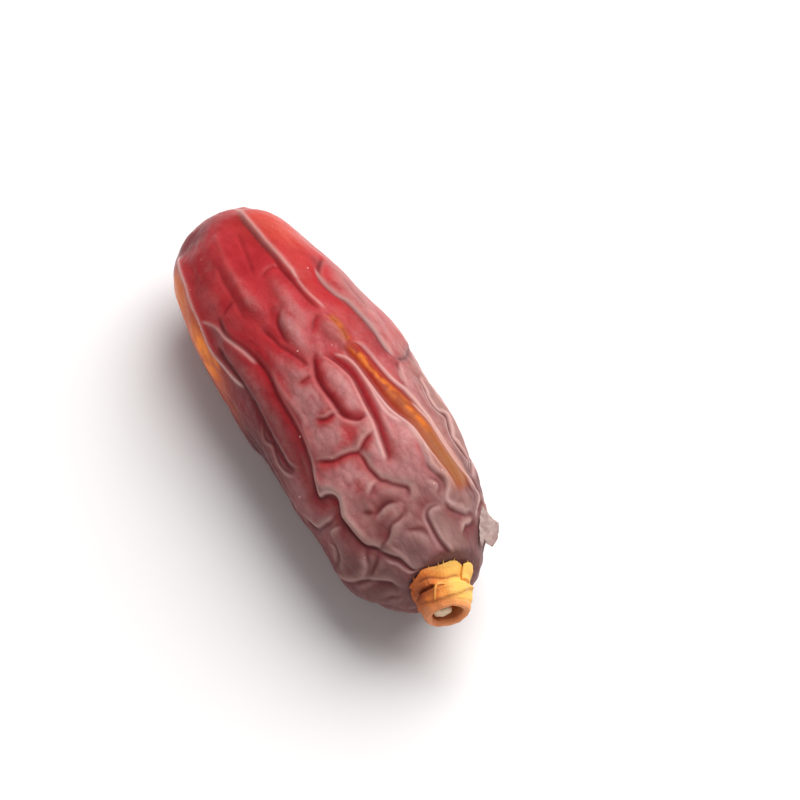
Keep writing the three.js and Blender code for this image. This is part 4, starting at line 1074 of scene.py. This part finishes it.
# painted shade and painted highlights are laid on with the colours below
for tone, lies, strength in (
        (DEEP_RUBY, coarse, 0.7), (CORAL, mask["warm"], 0.65), (MAUVE, bloomy.outputs[0], 0.88),
        (PINK_MAUVE, both(mask["puffed"], cloudy), 0.6), (PINK_MAUVE, both(mask["bloom"], grainy), 0.30),
        (PINK_MAUVE, both(mask["bloom"], flaky), 0.30), (ASH_AND_SHADE, mask["old_end_and_shade"], 0.76),
        (PAPER, mask["papery"], 0.8), (SHADE, mask["shady"], 0.95), (HOLLOW_RED, mask["hollow"], 0.85),
        (MAROON_SHADE, mask["dull_hollow"], 0.62), (PLATE_EDGE_HIGHLIGHT, mask["plate"], 0.75),
        (CREASE_SHADE, mask["fine"], 0.16), (CREASE_SHADE, mask["crease"], 0.72), (SEAM_RED, mask["seam"], 0.95),
        (SEAM_ORANGE, mask["seam_orange"], 0.85), (SEAM_RED, both(mask["seam_orange"], cloudy), 0.35),
        (SEAM_TAN, mask["seam_tan"], 0.9), (SEAM_HIGHLIGHT, both(mask["seam_highlight"], highlight_flecks), 0.9),
        (THIN_ORANGE_BACKLIT, mask["thin"], 1.0), (CORAL, both(mask["thin"], coarse), 0.4),
        (AMBER_BACKLIT, mask["amber"], 1.0), (THIN_ORANGE_BACKLIT, both(mask["amber"], cloudy), 0.7),
        (PALE_RIM_HIGHLIGHT, mask["rim"], 0.72)):
    colour = layer(tree, colour, tone, lies, strength)
# a painted glow on the thin flank, as if light shone through it; the flank is no lamp
painted_glow = (0.0, 0.0, 0.0)
for tone, lies, strength in ((PAINTED_THIN_GLOW, mask["thin"], 1.0), (PAINTED_AMBER_GLOW, mask["amber"], 1.0),
                             (PAINTED_THIN_GLOW, both(mask["amber"], cloudy), 0.8)):
    painted_glow = layer(tree, painted_glow, tone, lies, strength)
link_all(tree, (colour, shader["Base Color"]), (painted_glow, shader["Emission Color"]))
print("layers:", sum(n.bl_idname == "ShaderNodeMix" for n in tree.nodes))

# %% Gloss, depth and grain of the skin
rough_where(tree, mask["bloom"], 0.27, 0.52, shader)
for name, value in {"Emission Strength": 1.0, "Subsurface Weight": 0.22, "Subsurface Scale": 0.0022,
                    "Subsurface Radius": (1.0, 0.28, 0.14), "Specular IOR Level": 0.10,
                    "Coat Weight": 0.02, "Coat Roughness": 0.22}.items():
    shader[name].default_value = value
grain = place(tree, "ShaderNodeBump", {"Strength": 0.30, "Distance": 0.08 * MM})
flakes = maths(tree, "MULTIPLY", both(mask["bloom"], flaky), 0.6)
height = maths(tree, "ADD", maths(tree, "MULTIPLY", grainy, 0.4), flakes)
link_all(tree, (height, grain.inputs["Height"]), (grain.outputs[0], shader["Normal"]))
fruit.data.materials.append(skin_material)
print("finish:", skin_material.name)

# %% [markdown]
# ## The cap: cup, petals and core
#
# A date hangs by the dried base of its flower. Three petals lie round the foot, each with one margin
# under its neighbour and one over the next. Above them stands a small cup with a round scar, and in
# the scar shows the end of the pith. The petals are bent sheets, the cup and the pith are turned
# bodies, so each is made from a profile and an angle. Noise wrinkles them, as it does the skin; dry
# husk wrinkles crosswise.

# %% Wrinkles of dry husk
# the torn lip of the layer round the cup, and the fold in the topmost petal, darkened with painted shade:
# [degrees round, up]
LIP_LINE = [[-180, 1.6], [-40, 1.5], [21, 1.85], [67, 2.5], [98, 2.65], [130, 2.55], [150, 2.3], [180, 1.6]]
FOLD_LINE = [[40, 0.9], [61, 0.95], [78, 1.05], [90, 0.98], [104, 0.8], [116, 0.7], [135, 0.6]]
LINE_FADE = 8    # degrees within which a line fades at its ends
# each: height, size upwards and across, shift
HUSK_WAVES = ((0.26, 0.21, 1.3, 2.7), (0.08, 0.10, 3.1, 6.3), (0.05, 1.5, 14, 4.1))


def along_line(local, line):
    degrees = np.degrees(np.arctan2(local[:, 1], local[:, 0]))
    first, last = line[0][0], line[-1][0]
    within = (ramp(first - LINE_FADE, first + LINE_FADE, degrees)
              * (1 - ramp(last - LINE_FADE, last + LINE_FADE, degrees)))
    return local[:, 2] - np.interp(degrees, *np.transpose(line)), within


def husk_masks(local):
    x, y, up = local.T
    degrees = np.degrees(np.arctan2(y, x))
    past_lip = along_line(local, LIP_LINE)[0]
    past_fold, near_fold = along_line(local, FOLD_LINE)
    # painted shade, in brown: under the lip, in one hollow at its side, in the fold and inside the scar
    shadow = bell(past_lip - 0.10, 0.14) * ramp(-60, 20, degrees) * (1 - ramp(140, 175, degrees))
    hollow = np.exp(-(np.abs(degrees - 140) / 30) ** 2.5 - (np.abs(up - 1.5) / 0.62) ** 2.5)
    fold = near_fold * bell(past_fold, 0.10)
    in_scar = (1 - ramp(1.68, 1.82, np.hypot(x, y))) * ramp(1.9, 2.1, up) * (1 - ramp(3.3, 3.65, up))
    # the side towards the lamp is painted lighter and the far side darker, as light and shade
    return {"cap_place": local, "brown_shade": np.clip(0.55 * shadow + hollow + 0.8 * fold + 0.5 * in_scar, 0, 1),
            "lit_side": ramp(-0.4, 2.6, x + 0.4 * y - 0.4 * (up - 1.5)), "rosy": ramp(2.5, 3.5, up),
            "shaded_side": 1 - ramp(-2.6, 2.0, x + 0.3 * y)}


def husk_relief(local):
    angle, up = np.arctan2(local[:, 1], local[:, 0]), local[:, 2]
    turned = np.stack([np.cos(angle), np.sin(angle)], -1)
    past_lip = along_line(local, LIP_LINE)[0]
    past_fold, near_fold = along_line(local, FOLD_LINE)
    relief = 0.16 * (1 - ramp(-0.05, 0.05, past_lip)) - 0.12 * near_fold * bell(past_fold, 0.11)
    for height, size, times, shift in HUSK_WAVES:
        relief = relief + height * ripple(np.column_stack([up / size, turned * times]), 1.0, shift)
    return relief


def around_cap(radius, angle, up):
    return np.stack([radius * np.cos(angle), radius * np.sin(angle), up + 0 * angle], -1)


def smooth_profile(points, count):
    p = np.array(points, float)
    way = np.concatenate([[0], np.cumsum(np.hypot(*np.diff(p, axis=0).T))])
    at = np.linspace(0, way[-1], count)
    profile = np.column_stack([np.interp(at, way, p[:, 0]), np.interp(at, way, p[:, 1])])
    for _ in range(2):
        profile[1:-1] = (profile[:-2] + 2 * profile[1:-1] + profile[2:]) / 4
    return profile


def turned_body(profile, count):
    index, angle = np.meshgrid(np.arange(len(profile)), np.linspace(0, 2 * np.pi, count, endpoint=False),
                               indexing="ij")
    return index.shape, profile[index, 0].ravel(), angle.ravel(), profile[index, 1].ravel()


print("husk wrinkles, mm:", [height for height, *_ in HUSK_WAVES])

# %% The pale core
CORE_FOOT = 1.78
CORE_TIP = 0.95
CORE_LENGTH = 3.5
CORE_LEAN = (-0.45, 0.0)    # how far the tip leans, across and above

core_profile = smooth_profile([(0.02, 0.05), (CORE_FOOT, 0.05), (1.36, 1.75), (CORE_TIP + 0.05, 2.05),
                               (CORE_TIP, CORE_LENGTH - 0.2), (CORE_TIP - 0.15, CORE_LENGTH - 0.05),
                               (0.02, CORE_LENGTH)], 54)
grid, radius, angle, up = turned_body(core_profile, 96)
core = around_cap(radius, angle, up)
rough_tip = ramp(CORE_LENGTH - 0.5, CORE_LENGTH, core[:, 2])
domed = 0.10 * rough_tip * (core[:, 0] ** 2 + core[:, 1] ** 2)
core[:, 2] += 0.16 * rough_tip * ripple(core * (5, 3.4, 0), 1.0, 1.9) - domed
core[:, :2] *= (1 + 0.05 * ripple(core * (6, 3, 2), 1.0, 8.2))[:, None]
core[:, :2] += np.outer(ramp(1.6, 2.8, core[:, 2]), CORE_LEAN)
core_local = np.vstack([core, [[0, 0, 0.05], [*CORE_LEAN, CORE_LENGTH]]])
receptacle = make_piece("pith_core", on_cap(core_local), grid_faces(*grid) + pole_faces(*grid),
                        {"cap_place": core_local})

# %% The cup with its round scar
CUP_FOOT = 1.4
CAP_LENGTH = 3.75
SCAR_RADIUS = 1.6
CUP_WIDEST, CUP_TAPER = 2.94, 0.30    # its radius at the foot, and how much it loses for each mm up
LOBES = 0.08        # half the height of the three lobes at its foot
LOWER_LIP = 0.12    # how much further the mouth's lower side reaches, for each mm below the axis

cup_profile = smooth_profile([
    (2.36, CUP_FOOT + 0.06), (2.6, CUP_FOOT), (CUP_WIDEST, CUP_FOOT + 0.08), (2.88, 1.75), (2.74, 2.2),
    (2.58, 2.8), (2.40, 3.35), (2.18, CAP_LENGTH - 0.02), (SCAR_RADIUS + 0.15, CAP_LENGTH - 0.08),
    (SCAR_RADIUS, 3.45), (SCAR_RADIUS, 2.6), (1.75, 2.3), (2.16, 1.95), (2.30, CUP_FOOT + 0.1)], 72)
grid, radius, angle, up = turned_body(cup_profile, 168)
low = 1 - ramp(CUP_FOOT, 2.4, up)
up = up + LOBES * low * (1 + np.cos(3 * angle))
radius = radius * (1 + 0.025 * np.sin(5 * angle + 1) + 0.015 * np.sin(11 * angle))
cup = around_cap(radius, angle, up)
outer_face = ramp(0.9, 1.15, radius / (CUP_WIDEST - CUP_TAPER * (up - CUP_FOOT)))
rim_face = ramp(3.4, 3.7, up)
cup[:, :2] *= (1 + np.maximum(outer_face, 0.5 * rim_face) * husk_relief(cup) / radius)[:, None]
cup[:, 2] += 0.10 * rim_face * ripple(cup * (3, 2, 0), 1.0, 3.3)
cup[:, 2] -= LOWER_LIP * cup[:, 1] * ramp(2.6, 3.5, cup[:, 2])
# the profile ends where it starts, so one more row of faces closes the foot
first = np.arange(grid[1])
last = first + (grid[0] - 1) * grid[1]
foot_faces = np.stack([last, np.roll(last, -1), np.roll(first, -1), first], -1).tolist()
calyx = make_piece("husk_cup", on_cap(cup), grid_faces(*grid) + foot_faces,
                   {**husk_masks(cup), "torn": 0.5 * rim_face})

# %% The three petals
PETALS = 3
PETAL_TURN = 80          # degrees of the first petal's middle, from across towards above
PETAL_SPAN = 78          # half of the arc that a petal covers at its foot
PETAL_SPAN_TOP = 57
PETAL_TOP = 1.75
MARGIN_TOP = 1.24        # the margin that lies over the next petal is lower
PETAL_RADIUS, PETAL_TAPER = 1.96, 0.26    # at the foot, and how much less for each mm up
FOOT_GAP = 0.04
HUSK_THICKNESS = 0.62
LIFT = HUSK_THICKNESS + 0.14    # how far that margin stands out
FOOT_FLARE = 0.35        # how much the petals spread towards the skin
SIDE_FLARE = 0.28        # and how much more they spread on the -across side
PETAL_STEPS = 120
LOOP_STEPS = 56


def petal_points(side, rise, thick, middle):
    over = ramp(0.22, 0.62, side)
    top = PETAL_TOP + (MARGIN_TOP - PETAL_TOP) * ramp(0.1, 0.5, side)
    top_edge = 0.10 * ripple(np.column_stack([side * 9, side * 5 - middle, 0 * side]), 1, 1.2)
    jag = 0.10 * np.sin(9 * side + middle) + 0.25 * side ** 2
    torn = 0.22 * ripple(np.column_stack([side * 11, side * 3 + middle, 0 * side]), 1.0, 5.5)
    foot = FOOT_GAP + 0.8 * np.maximum(0, jag + torn)
    height = foot + (top - foot + top_edge) * rise
    span = PETAL_SPAN + (PETAL_SPAN_TOP - PETAL_SPAN) * ramp(0.55, 1, rise) * (side < 0)
    angle = middle + np.radians(span) * side
    flare = (FOOT_FLARE + SIDE_FLARE * np.maximum(0, -np.cos(angle))) * (1 - ramp(0, 0.9, height))
    inner = PETAL_RADIUS - PETAL_TAPER * height + LIFT * over - 0.12 * rise * (side > 0.5) + flare
    return around_cap(inner + thick * HUSK_THICKNESS, angle, height)


def petal(number):
    middle = math.radians(PETAL_TURN + number * 360 / PETALS)
    side, loop = (grid.ravel() for grid in np.meshgrid(
        np.linspace(-1, 1, PETAL_STEPS + 1), np.linspace(0, 2 * np.pi, LOOP_STEPS, endpoint=False),
        indexing="ij"))
    # each cross section is a rounded loop, which closes to nothing at the two margins
    rise = 0.5 - 0.5 * np.cos(loop)
    full = np.sqrt(1 - side ** 10)
    thick = 0.5 - 0.5 * (np.sign(np.sin(loop)) * np.abs(np.sin(loop)) ** 0.35) * full
    local = petal_points(side, rise, thick, middle)
    relief = husk_relief(local) * thick * full
    local[:, :2] *= (1 + relief / np.hypot(local[:, 0], local[:, 1]))[:, None]
    torn_edge = 1 - ramp(0.02, 0.4, rise) * (1 - ramp(0.9, 1, np.abs(side)))
    return make_piece(f"husk_petal_{number + 1}", on_cap(local), grid_faces(PETAL_STEPS + 1, LOOP_STEPS),
                      {**husk_masks(local), "torn": torn_edge})


petals = [petal(number) for number in range(PETALS)]

# %% [markdown]
# ## A loose scale of skin and a curl of husk
#
# Beside the stalk end one scale of dry skin stands off, held by its upper edge, and a thin shred of
# husk has curled up on the cap. A cloth simulation could peel them, but where they end would then be
# luck. Both are thin closed sheets instead: the scale is filled in from the outline seen in the
# photograph, and the shred is a flat loop swept along a short path on the cap.

# %% The loose scale of skin
SCALE_MIDDLE = np.array([22.73, 5.04, 11.96])
SCALE_ACROSS = np.array([0.0, 1.167, -1.039])
SCALE_ALONG = np.array([-0.935, 0.562, 0.110])
SCALE_THICKNESS = 0.16
SCALE_CURL = 0.16
SCALE_WAVES = 0.22
SCALE_RINGS = 14
EDGE_STEPS = 96
# its edge, clockwise from the top: [across, along]
SCALE_OUTLINE = [[-0.51, 2.11], [0.02, 1.52], [0.60, 0.70], [1.05, 0.25], [1.06, -0.6], [0.97, -1.24],
    [0.45, -2.05], [-0.14, -1.68], [-0.36, -1.09], [-0.66, -1.98], [-0.95, -1.53], [-1.03, -0.04],
    [-0.88, 1.14]]

scale_edge = np.array(SCALE_OUTLINE + SCALE_OUTLINE[:1])
turn = np.linspace(0, len(SCALE_OUTLINE), EDGE_STEPS + 1)[:-1]
scale_edge = np.column_stack([np.interp(turn, np.arange(len(scale_edge)), column) for column in scale_edge.T])
# rings run over the upper face, round the edge and back over the lower face
share = np.sin(np.linspace(0, np.pi, 2 * SCALE_RINGS + 3)[1:-1])
face = np.sign(np.linspace(1, -1, len(share)))
flat = (share[:, None, None] * scale_edge[None]).reshape(-1, 2)
off = np.repeat(face * 0.5 * SCALE_THICKNESS * np.sqrt(1 - share ** 4), len(scale_edge))
rolls = (ripple(np.column_stack([flat * 1.6, 0 * off]), 1.0, 4.4)
         + 0.5 * ripple(np.column_stack([flat * 5, 0 * off]), 1.0, 2.2))
off = off + SCALE_CURL * flat[:, 0] ** 2 + SCALE_WAVES * rolls
out_of_scale = np.cross(SCALE_ACROSS, SCALE_ALONG)
out_of_scale /= np.linalg.norm(out_of_scale)
scale_points = SCALE_MIDDLE + flat @ np.array([SCALE_ACROSS, SCALE_ALONG]) + off[:, None] * out_of_scale
tips = SCALE_MIDDLE + 0.5 * SCALE_THICKNESS * np.outer([1, -1], out_of_scale)
grid = len(share), len(scale_edge)
loose_scale = make_piece("loose_scale", np.vstack([scale_points, tips]),
                         grid_faces(*grid) + pole_faces(*grid))

# %% The curl of husk
# its path on the cap: [degrees round, up, distance from the axis]
CURL_PATH = [[116, 2.75, 2.78], [111, 2.2, 3.02], [107, 1.8, 3.18], [102, 1.6, 3.24], [95, 1.62, 3.20],
    [88, 1.76, 3.10]]
CURL_BREADTH = 0.13      # half of it
CURL_THICKNESS = 0.05    # half of it

steps = np.linspace(0, len(CURL_PATH) - 1, 49)
degrees_round, up, radius = (np.interp(steps, np.arange(len(CURL_PATH)), column)
                             for column in np.transpose(CURL_PATH))
curl_line = around_cap(radius, np.radians(degrees_round), up)
for _ in range(6):
    curl_line[1:-1] = (curl_line[:-2] + 2 * curl_line[1:-1] + curl_line[2:]) / 4
outwards = curl_line * (1, 1, 0) / np.linalg.norm(curl_line[:, :2], axis=1)[:, None]
sideways = np.cross(outwards, np.gradient(curl_line, axis=0))
sideways /= np.linalg.norm(sideways, axis=1)[:, None]
loop = np.linspace(0, 2 * np.pi, 12, endpoint=False)[None, :, None]
slim = np.sqrt(np.clip(np.sin(np.linspace(0.02, 0.98, len(steps)) * np.pi), 0, 1))[:, None, None]
curl = curl_line[:, None] + slim * (CURL_BREADTH * np.cos(loop) * sideways[:, None]
                                    + CURL_THICKNESS * np.sin(loop) * outwards[:, None])
curl_points = np.vstack([curl.reshape(-1, 3), curl_line[[0, -1]]])
grid = len(steps), loop.size
# the curl gets half of the painted light of the lit side
husk_curl = make_piece("husk_curl", on_cap(curl_points), grid_faces(*grid) + pole_faces(*grid),
                       {"cap_place": curl_points, "lit_side": np.full(len(curl_points), 0.5),
                        "rosy": np.full(len(curl_points), 0.3)})

# %% [markdown]
# ## The finish of the dry cap
#
# Dry husk is orange where it is thick. Painted light makes its side towards the lamp straw yellow,
# painted shade makes its far side darker, and brown painted shade lies under its lip, in its folds
# and hollows and inside the scar. It is matt and fibrous, so nearly all its look is colour and bump.
# The pith in the scar is paler and has no gloss at all. Both use the shared groups, with other values.

# %% Straw and pith
# the yellow of the side towards the lamp is painted light
STRAW_YELLOW_LIT = (1.0, 0.58, 0.12)
STRAW_MIDDLE = (0.98, 0.30, 0.036)
STRAW_ORANGE = (0.92, 0.17, 0.012)
STRAW_ROSE = (0.85, 0.30, 0.120)
# the darker far side is painted shade
STRAW_SHADED = (0.55, 0.110, 0.012)
# brown of spots in the straw and pith, and of painted shade under lips, in folds and in the scar
STRAW_BROWN_AND_SHADE = (0.19, 0.022, 0.003)
STRAW_PALE = (1.0, 0.66, 0.24)
PITH = (0.88, 0.66, 0.44)
PITH_SHADE = (0.62, 0.36, 0.18)


def dry_material(name, base, second, dark, pale, size):
    material, tree, shader = new_material(name, 0.62)
    where = place(tree, "ShaderNodeAttribute", attribute_name="cap_place").outputs["Vector"]
    # cap_place is in millimetres, not in metres, so the mottle's sizes grow with it
    clouds = mottled(tree, where, size / MM, 0.38, 0.62)
    spots = mottled(tree, where, 0.45 * size / MM, 0.50, 0.72)
    lines = use_group(tree, fibres, where, {"Width in mm": 0.16, "Length": 8.0})
    bands = use_group(tree, fibres, where, {"Width in mm": 0.8, "Length": 0.22})
    colour = layer(tree, base, second, maths(tree, "MULTIPLY", clouds, bands), 0.9)
    colour = layer(tree, colour, dark, spots, 0.18)
    colour = layer(tree, colour, pale, lines, 0.25)
    rise = place(tree, "ShaderNodeBump", {"Strength": 0.5, "Distance": 0.08 * MM})
    height = maths(tree, "ADD", maths(tree, "MULTIPLY", lines, 0.4), maths(tree, "MULTIPLY", bands, 0.6))
    link_all(tree, (colour, shader["Base Color"]), (height, rise.inputs["Height"]),
             (rise.outputs[0], shader["Normal"]))
    rough_where(tree, clouds, 0.5, 0.8, shader)
    for socket, value in (("Weight", 0.08), ("Radius", (1.0, 0.5, 0.2)), ("Scale", 0.0008)):
        shader["Subsurface " + socket].default_value = value
    return material, tree, shader, colour


straw_material, tree, shader, colour = dry_material("dry straw husk", STRAW_MIDDLE, STRAW_ORANGE, STRAW_BROWN_AND_SHADE,
                                                    STRAW_PALE, 1.6)
# painted light yellows the lit side; painted shade darkens the far side and browns the lip, folds, hollow and
# scar
for tone, name, strength in ((STRAW_YELLOW_LIT, "lit_side", 0.85), (STRAW_SHADED, "shaded_side", 0.9),
                             (STRAW_ROSE, "rosy", 0.75), (STRAW_BROWN_AND_SHADE, "brown_shade", 0.9)):
    lies = place(tree, "ShaderNodeAttribute", attribute_name=name).outputs["Fac"]
    colour = layer(tree, colour, tone, lies, strength)
tree.links.new(colour, shader["Base Color"])
pith_material = dry_material("pale pith", PITH, PITH_SHADE, STRAW_BROWN_AND_SHADE, PITH, 0.7)[0]
for piece in (calyx, *petals, husk_curl):
    piece.data.materials.append(straw_material)
receptacle.data.materials.append(pith_material)
print("finishes:", straw_material.name, "and", pith_material.name)

# %% The dry skin of the loose scale
SCALE_PALE = (0.42, 0.30, 0.265)
SCALE_DARK = (0.24, 0.12, 0.115)

scale_material, tree, shader = new_material("loose dry skin", 0.6)
where = place(tree, "ShaderNodeTexCoord").outputs["Object"]
grit = mottled(tree, where, 0.25, 0.42, 0.64)
colour = layer(tree, SCALE_PALE, SCALE_DARK, mottled(tree, where, 1.1, 0.42, 0.60), 0.55)
tree.links.new(layer(tree, colour, SCALE_DARK, grit, 0.25), shader["Base Color"])
rough_where(tree, grit, 0.5, 0.75, shader)
loose_scale.data.materials.append(scale_material)
print("finish:", scale_material.name)

# %% [markdown]
# ## Pale specks on the skin
#
# Tiny crystals of sugar and crumbs of dry skin sit on a date. Set one by one they would take a list;
# Geometry Nodes scatter them over the real surface instead, on all that faces up except the seam,
# with a fixed seed. The specks are flattened crumbs, half sunk into the skin. The same tree, with
# another shape on its points, will set the fibres of the cap.

# %% A tree that scatters small shapes over a piece
def scatter_tree(name, inputs, share_name, least, most):
    tree, start, end = new_tree(name, "GeometryNodeTree", [
        ("Geometry", "Geometry", None), *inputs, ("Seed", "Int", 4), ("Finish", "Material", None)],
        ("Geometry", "Geometry"))
    scatter = place(tree, "GeometryNodeDistributePointsOnFaces")
    share = place(tree, "GeometryNodeInputNamedAttribute", {"Name": share_name}, data_type="FLOAT")
    density = place(tree, "ShaderNodeMath", operation="MULTIPLY")
    put = place(tree, "GeometryNodeInstanceOnPoints")
    sizes = place(tree, "FunctionNodeRandomValue", {2: least, 3: most}, data_type="FLOAT")
    realize = place(tree, "GeometryNodeRealizeInstances")
    paint = place(tree, "GeometryNodeSetMaterial")
    link_all(tree, (start["Geometry"], scatter.inputs["Mesh"]), (start["Seed"], scatter.inputs["Seed"]),
             (start["Number per square metre"], density.inputs[0]), (share.outputs[0], density.inputs[1]),
             (density.outputs[0], scatter.inputs["Density"]), (start["Seed"], sizes.inputs["Seed"]),
             (scatter.outputs["Points"], put.inputs["Points"]),
             (scatter.outputs["Rotation"], put.inputs["Rotation"]), (sizes.outputs[1], put.inputs["Scale"]),
             (put.outputs[0], realize.inputs[0]), (realize.outputs[0], paint.inputs["Geometry"]),
             (start["Finish"], paint.inputs["Material"]), (paint.outputs[0], end["Geometry"]))
    return tree, start, put.inputs


specks, start, put = scatter_tree("sugar specks", [
    ("Number per square metre", "Float", 30000.0), ("Size", "Float", 0.08 * MM)], "speckled", 0.5, 1.6)
crumb = place(specks, "GeometryNodeMeshIcoSphere", {"Subdivisions": 2})
flatten = place(specks, "GeometryNodeTransform", {"Scale": (1.0, 0.8, 0.4)})
link_all(specks, (start["Size"], crumb.inputs["Radius"]), (crumb.outputs[0], flatten.inputs[0]),
         (flatten.outputs[0], put["Instance"]))
print("tree:", specks.name)

# %% Scatter them and keep the result as a mesh
def run_tree(tree, source, name, values):
    carrier = bpy.data.objects.new(name, source.data.copy())
    scene.collection.objects.link(carrier)
    modifier = carrier.modifiers.new("tree", "NODES")
    modifier.node_group = tree
    for item in tree.interface.items_tree:
        if item.in_out == "INPUT" and item.name in values:
            modifier[item.identifier] = values[item.name]
    grown = carrier.evaluated_get(bpy.context.evaluated_depsgraph_get())
    mesh = bpy.data.meshes.new_from_object(grown)
    carrier.modifiers.remove(modifier)
    carrier.data = mesh
    print(name, "has", len(mesh.polygons), "faces")
    return carrier


def read_attribute(piece, name, field="value"):
    return np.array([getattr(item, field) for item in piece.data.attributes[name].data])


speck_material, tree, shader = new_material("dry sugar", 0.55)
where = place(tree, "ShaderNodeTexCoord").outputs["Object"]
tint = layer(tree, (0.78, 0.46, 0.42), (0.66, 0.34, 0.30), mottled(tree, where, 0.8, 0.4, 0.6))
tree.links.new(tint, shader["Base Color"])
facing_up = np.clip([vertex.normal.z for vertex in fruit.data.vertices], 0, 1)
add_attribute(fruit.data, "speckled", facing_up * (1 - read_attribute(fruit, "seam")))
sugar = run_tree(specks, fruit, "sugar_specks", {
    "Number per square metre": 30000.0, "Size": 0.08 * MM, "Seed": 4, "Finish": speck_material})

# %% [markdown]
# ## Frayed fibres on the torn petals
#
# The foot of each petal is torn, and single fibres stand out of the tear. They could be hair, but hair
# isn't part of a model that is handed over. Here the scattering tree sets a thin cone on every point
# and turns it along a direction that each petal carries as an attribute.

# %% The tree that sets fibres
fray, start, put = scatter_tree("frayed fibres", [
    ("Number per square metre", "Float", 1.5e6), ("Length", "Float", 0.34 * MM),
    ("Thickness", "Float", 0.05 * MM)], "frayed", 0.5, 1.5)
way = place(fray, "GeometryNodeInputNamedAttribute", {"Name": "fibre_way"}, data_type="FLOAT_VECTOR")
align = place(fray, "FunctionNodeAlignRotationToVector", axis="Z")
cone = place(fray, "GeometryNodeMeshCone", {"Vertices": 6, "Side Segments": 3})
link_all(fray, (start["Thickness"], cone.inputs["Radius Bottom"]), (start["Length"], cone.inputs["Depth"]),
         (way.outputs[0], align.inputs["Vector"]), (align.outputs[0], put["Rotation"]),
         (cone.outputs[0], put["Instance"]))
print("tree:", fray.name)

# %% Set the fibres on every petal
fringe = []
for number, piece in enumerate(petals):
    local = read_attribute(piece, "cap_place", "vector")
    tear = read_attribute(piece, "torn") * (1 - ramp(0.25, 0.6, local[:, 2]))
    way = local * (1, 1, 0) / np.linalg.norm(local[:, :2], axis=1)[:, None] * 0.55 - (0, 0, 0.8)
    for axis, shift in ((0, 3.7), (1, 8.1)):
        way[:, axis] += 1.2 * ripple(local, 0.25, shift)
    add_attribute(piece.data, "frayed", tear)
    add_attribute(piece.data, "fibre_way", way @ cap_turn)
    fringe.append(run_tree(fray, piece, f"husk_fringe_{number + 1}", {
        "Number per square metre": 1.5e6, "Length": 0.34 * MM, "Thickness": 0.05 * MM,
        "Seed": 11 + number, "Finish": straw_material}))

# %% [markdown]
# ## Table, lights and the white room
#
# The date lies on a pale table. In the camera's view the key lamp stands high behind the date and to
# its right, and a weak one fills in from the front left. Small lamps would draw hard spots on the
# glossy skin, so both are half a metre wide. The room is white too, which fills the shadows without
# flattening the folds.

# %% Table
TABLE_SIZE = 2.4
corners = np.array([[-1, -1, 0], [1, -1, 0], [1, 1, 0], [-1, 1, 0]])
table = make_piece("table", corners * TABLE_SIZE / 2 / MM, [[0, 1, 2, 3]])
table_material, tree, shader = new_material("pale table", 0.55)
where = place(tree, "ShaderNodeTexCoord").outputs["Object"]
tint = layer(tree, (0.90, 0.885, 0.88), (0.88, 0.865, 0.86), mottled(tree, where, 60.0, 0.3, 0.7))
tree.links.new(tint, shader["Base Color"])
table.data.materials.append(table_material)
print("table:", TABLE_SIZE, "m wide")

# %% Lights and world
LAMPS_AIM = (0, 0, 0.01)
KEY_POWER = 3.8
FILL_POWER = 0.25
LAMP_WIDTH = 0.50
ROOM = 0.25


def soft_lamp(name, location, size, power):
    light = bpy.data.lights.new(name, "AREA")
    light.size = size
    light.energy = power
    lamp = bpy.data.objects.new(name, light)
    scene.collection.objects.link(lamp)
    lamp.location = location
    lamp.rotation_euler = (Vector(LAMPS_AIM) - Vector(location)).to_track_quat("-Z", "Y").to_euler()


soft_lamp("key lamp", (-0.06, 0.26, 0.42), LAMP_WIDTH, KEY_POWER)
soft_lamp("fill lamp", (0.30, -0.35, 0.30), LAMP_WIDTH, FILL_POWER)
room = bpy.data.worlds.new("white room")
room.use_nodes = True
for name, value in (("Color", (1.0, 0.99, 0.985, 1)), ("Strength", ROOM)):
    room.node_tree.nodes["Background"].inputs[name].default_value = value
scene.world = room
scene.view_settings.view_transform = "Standard"
print("key", KEY_POWER, "W, fill", FILL_POWER, "W")

# %% [markdown]
# ## Attach the pieces
#
# The date has no moving parts, so every piece rides on the one body. Each fine piece stands in for
# one packed piece, which is hidden.

# %% Ride and replace
NODES = {"fruit": fruit, "receptacle": receptacle, "calyx": calyx,
         "petal_1": petals[0], "petal_2": petals[1], "petal_3": petals[2]}
for node, piece in NODES.items():
    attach(piece, "root")
    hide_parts(node)
for piece in (sugar, loose_scale, husk_curl, *fringe):
    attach(piece, "root")
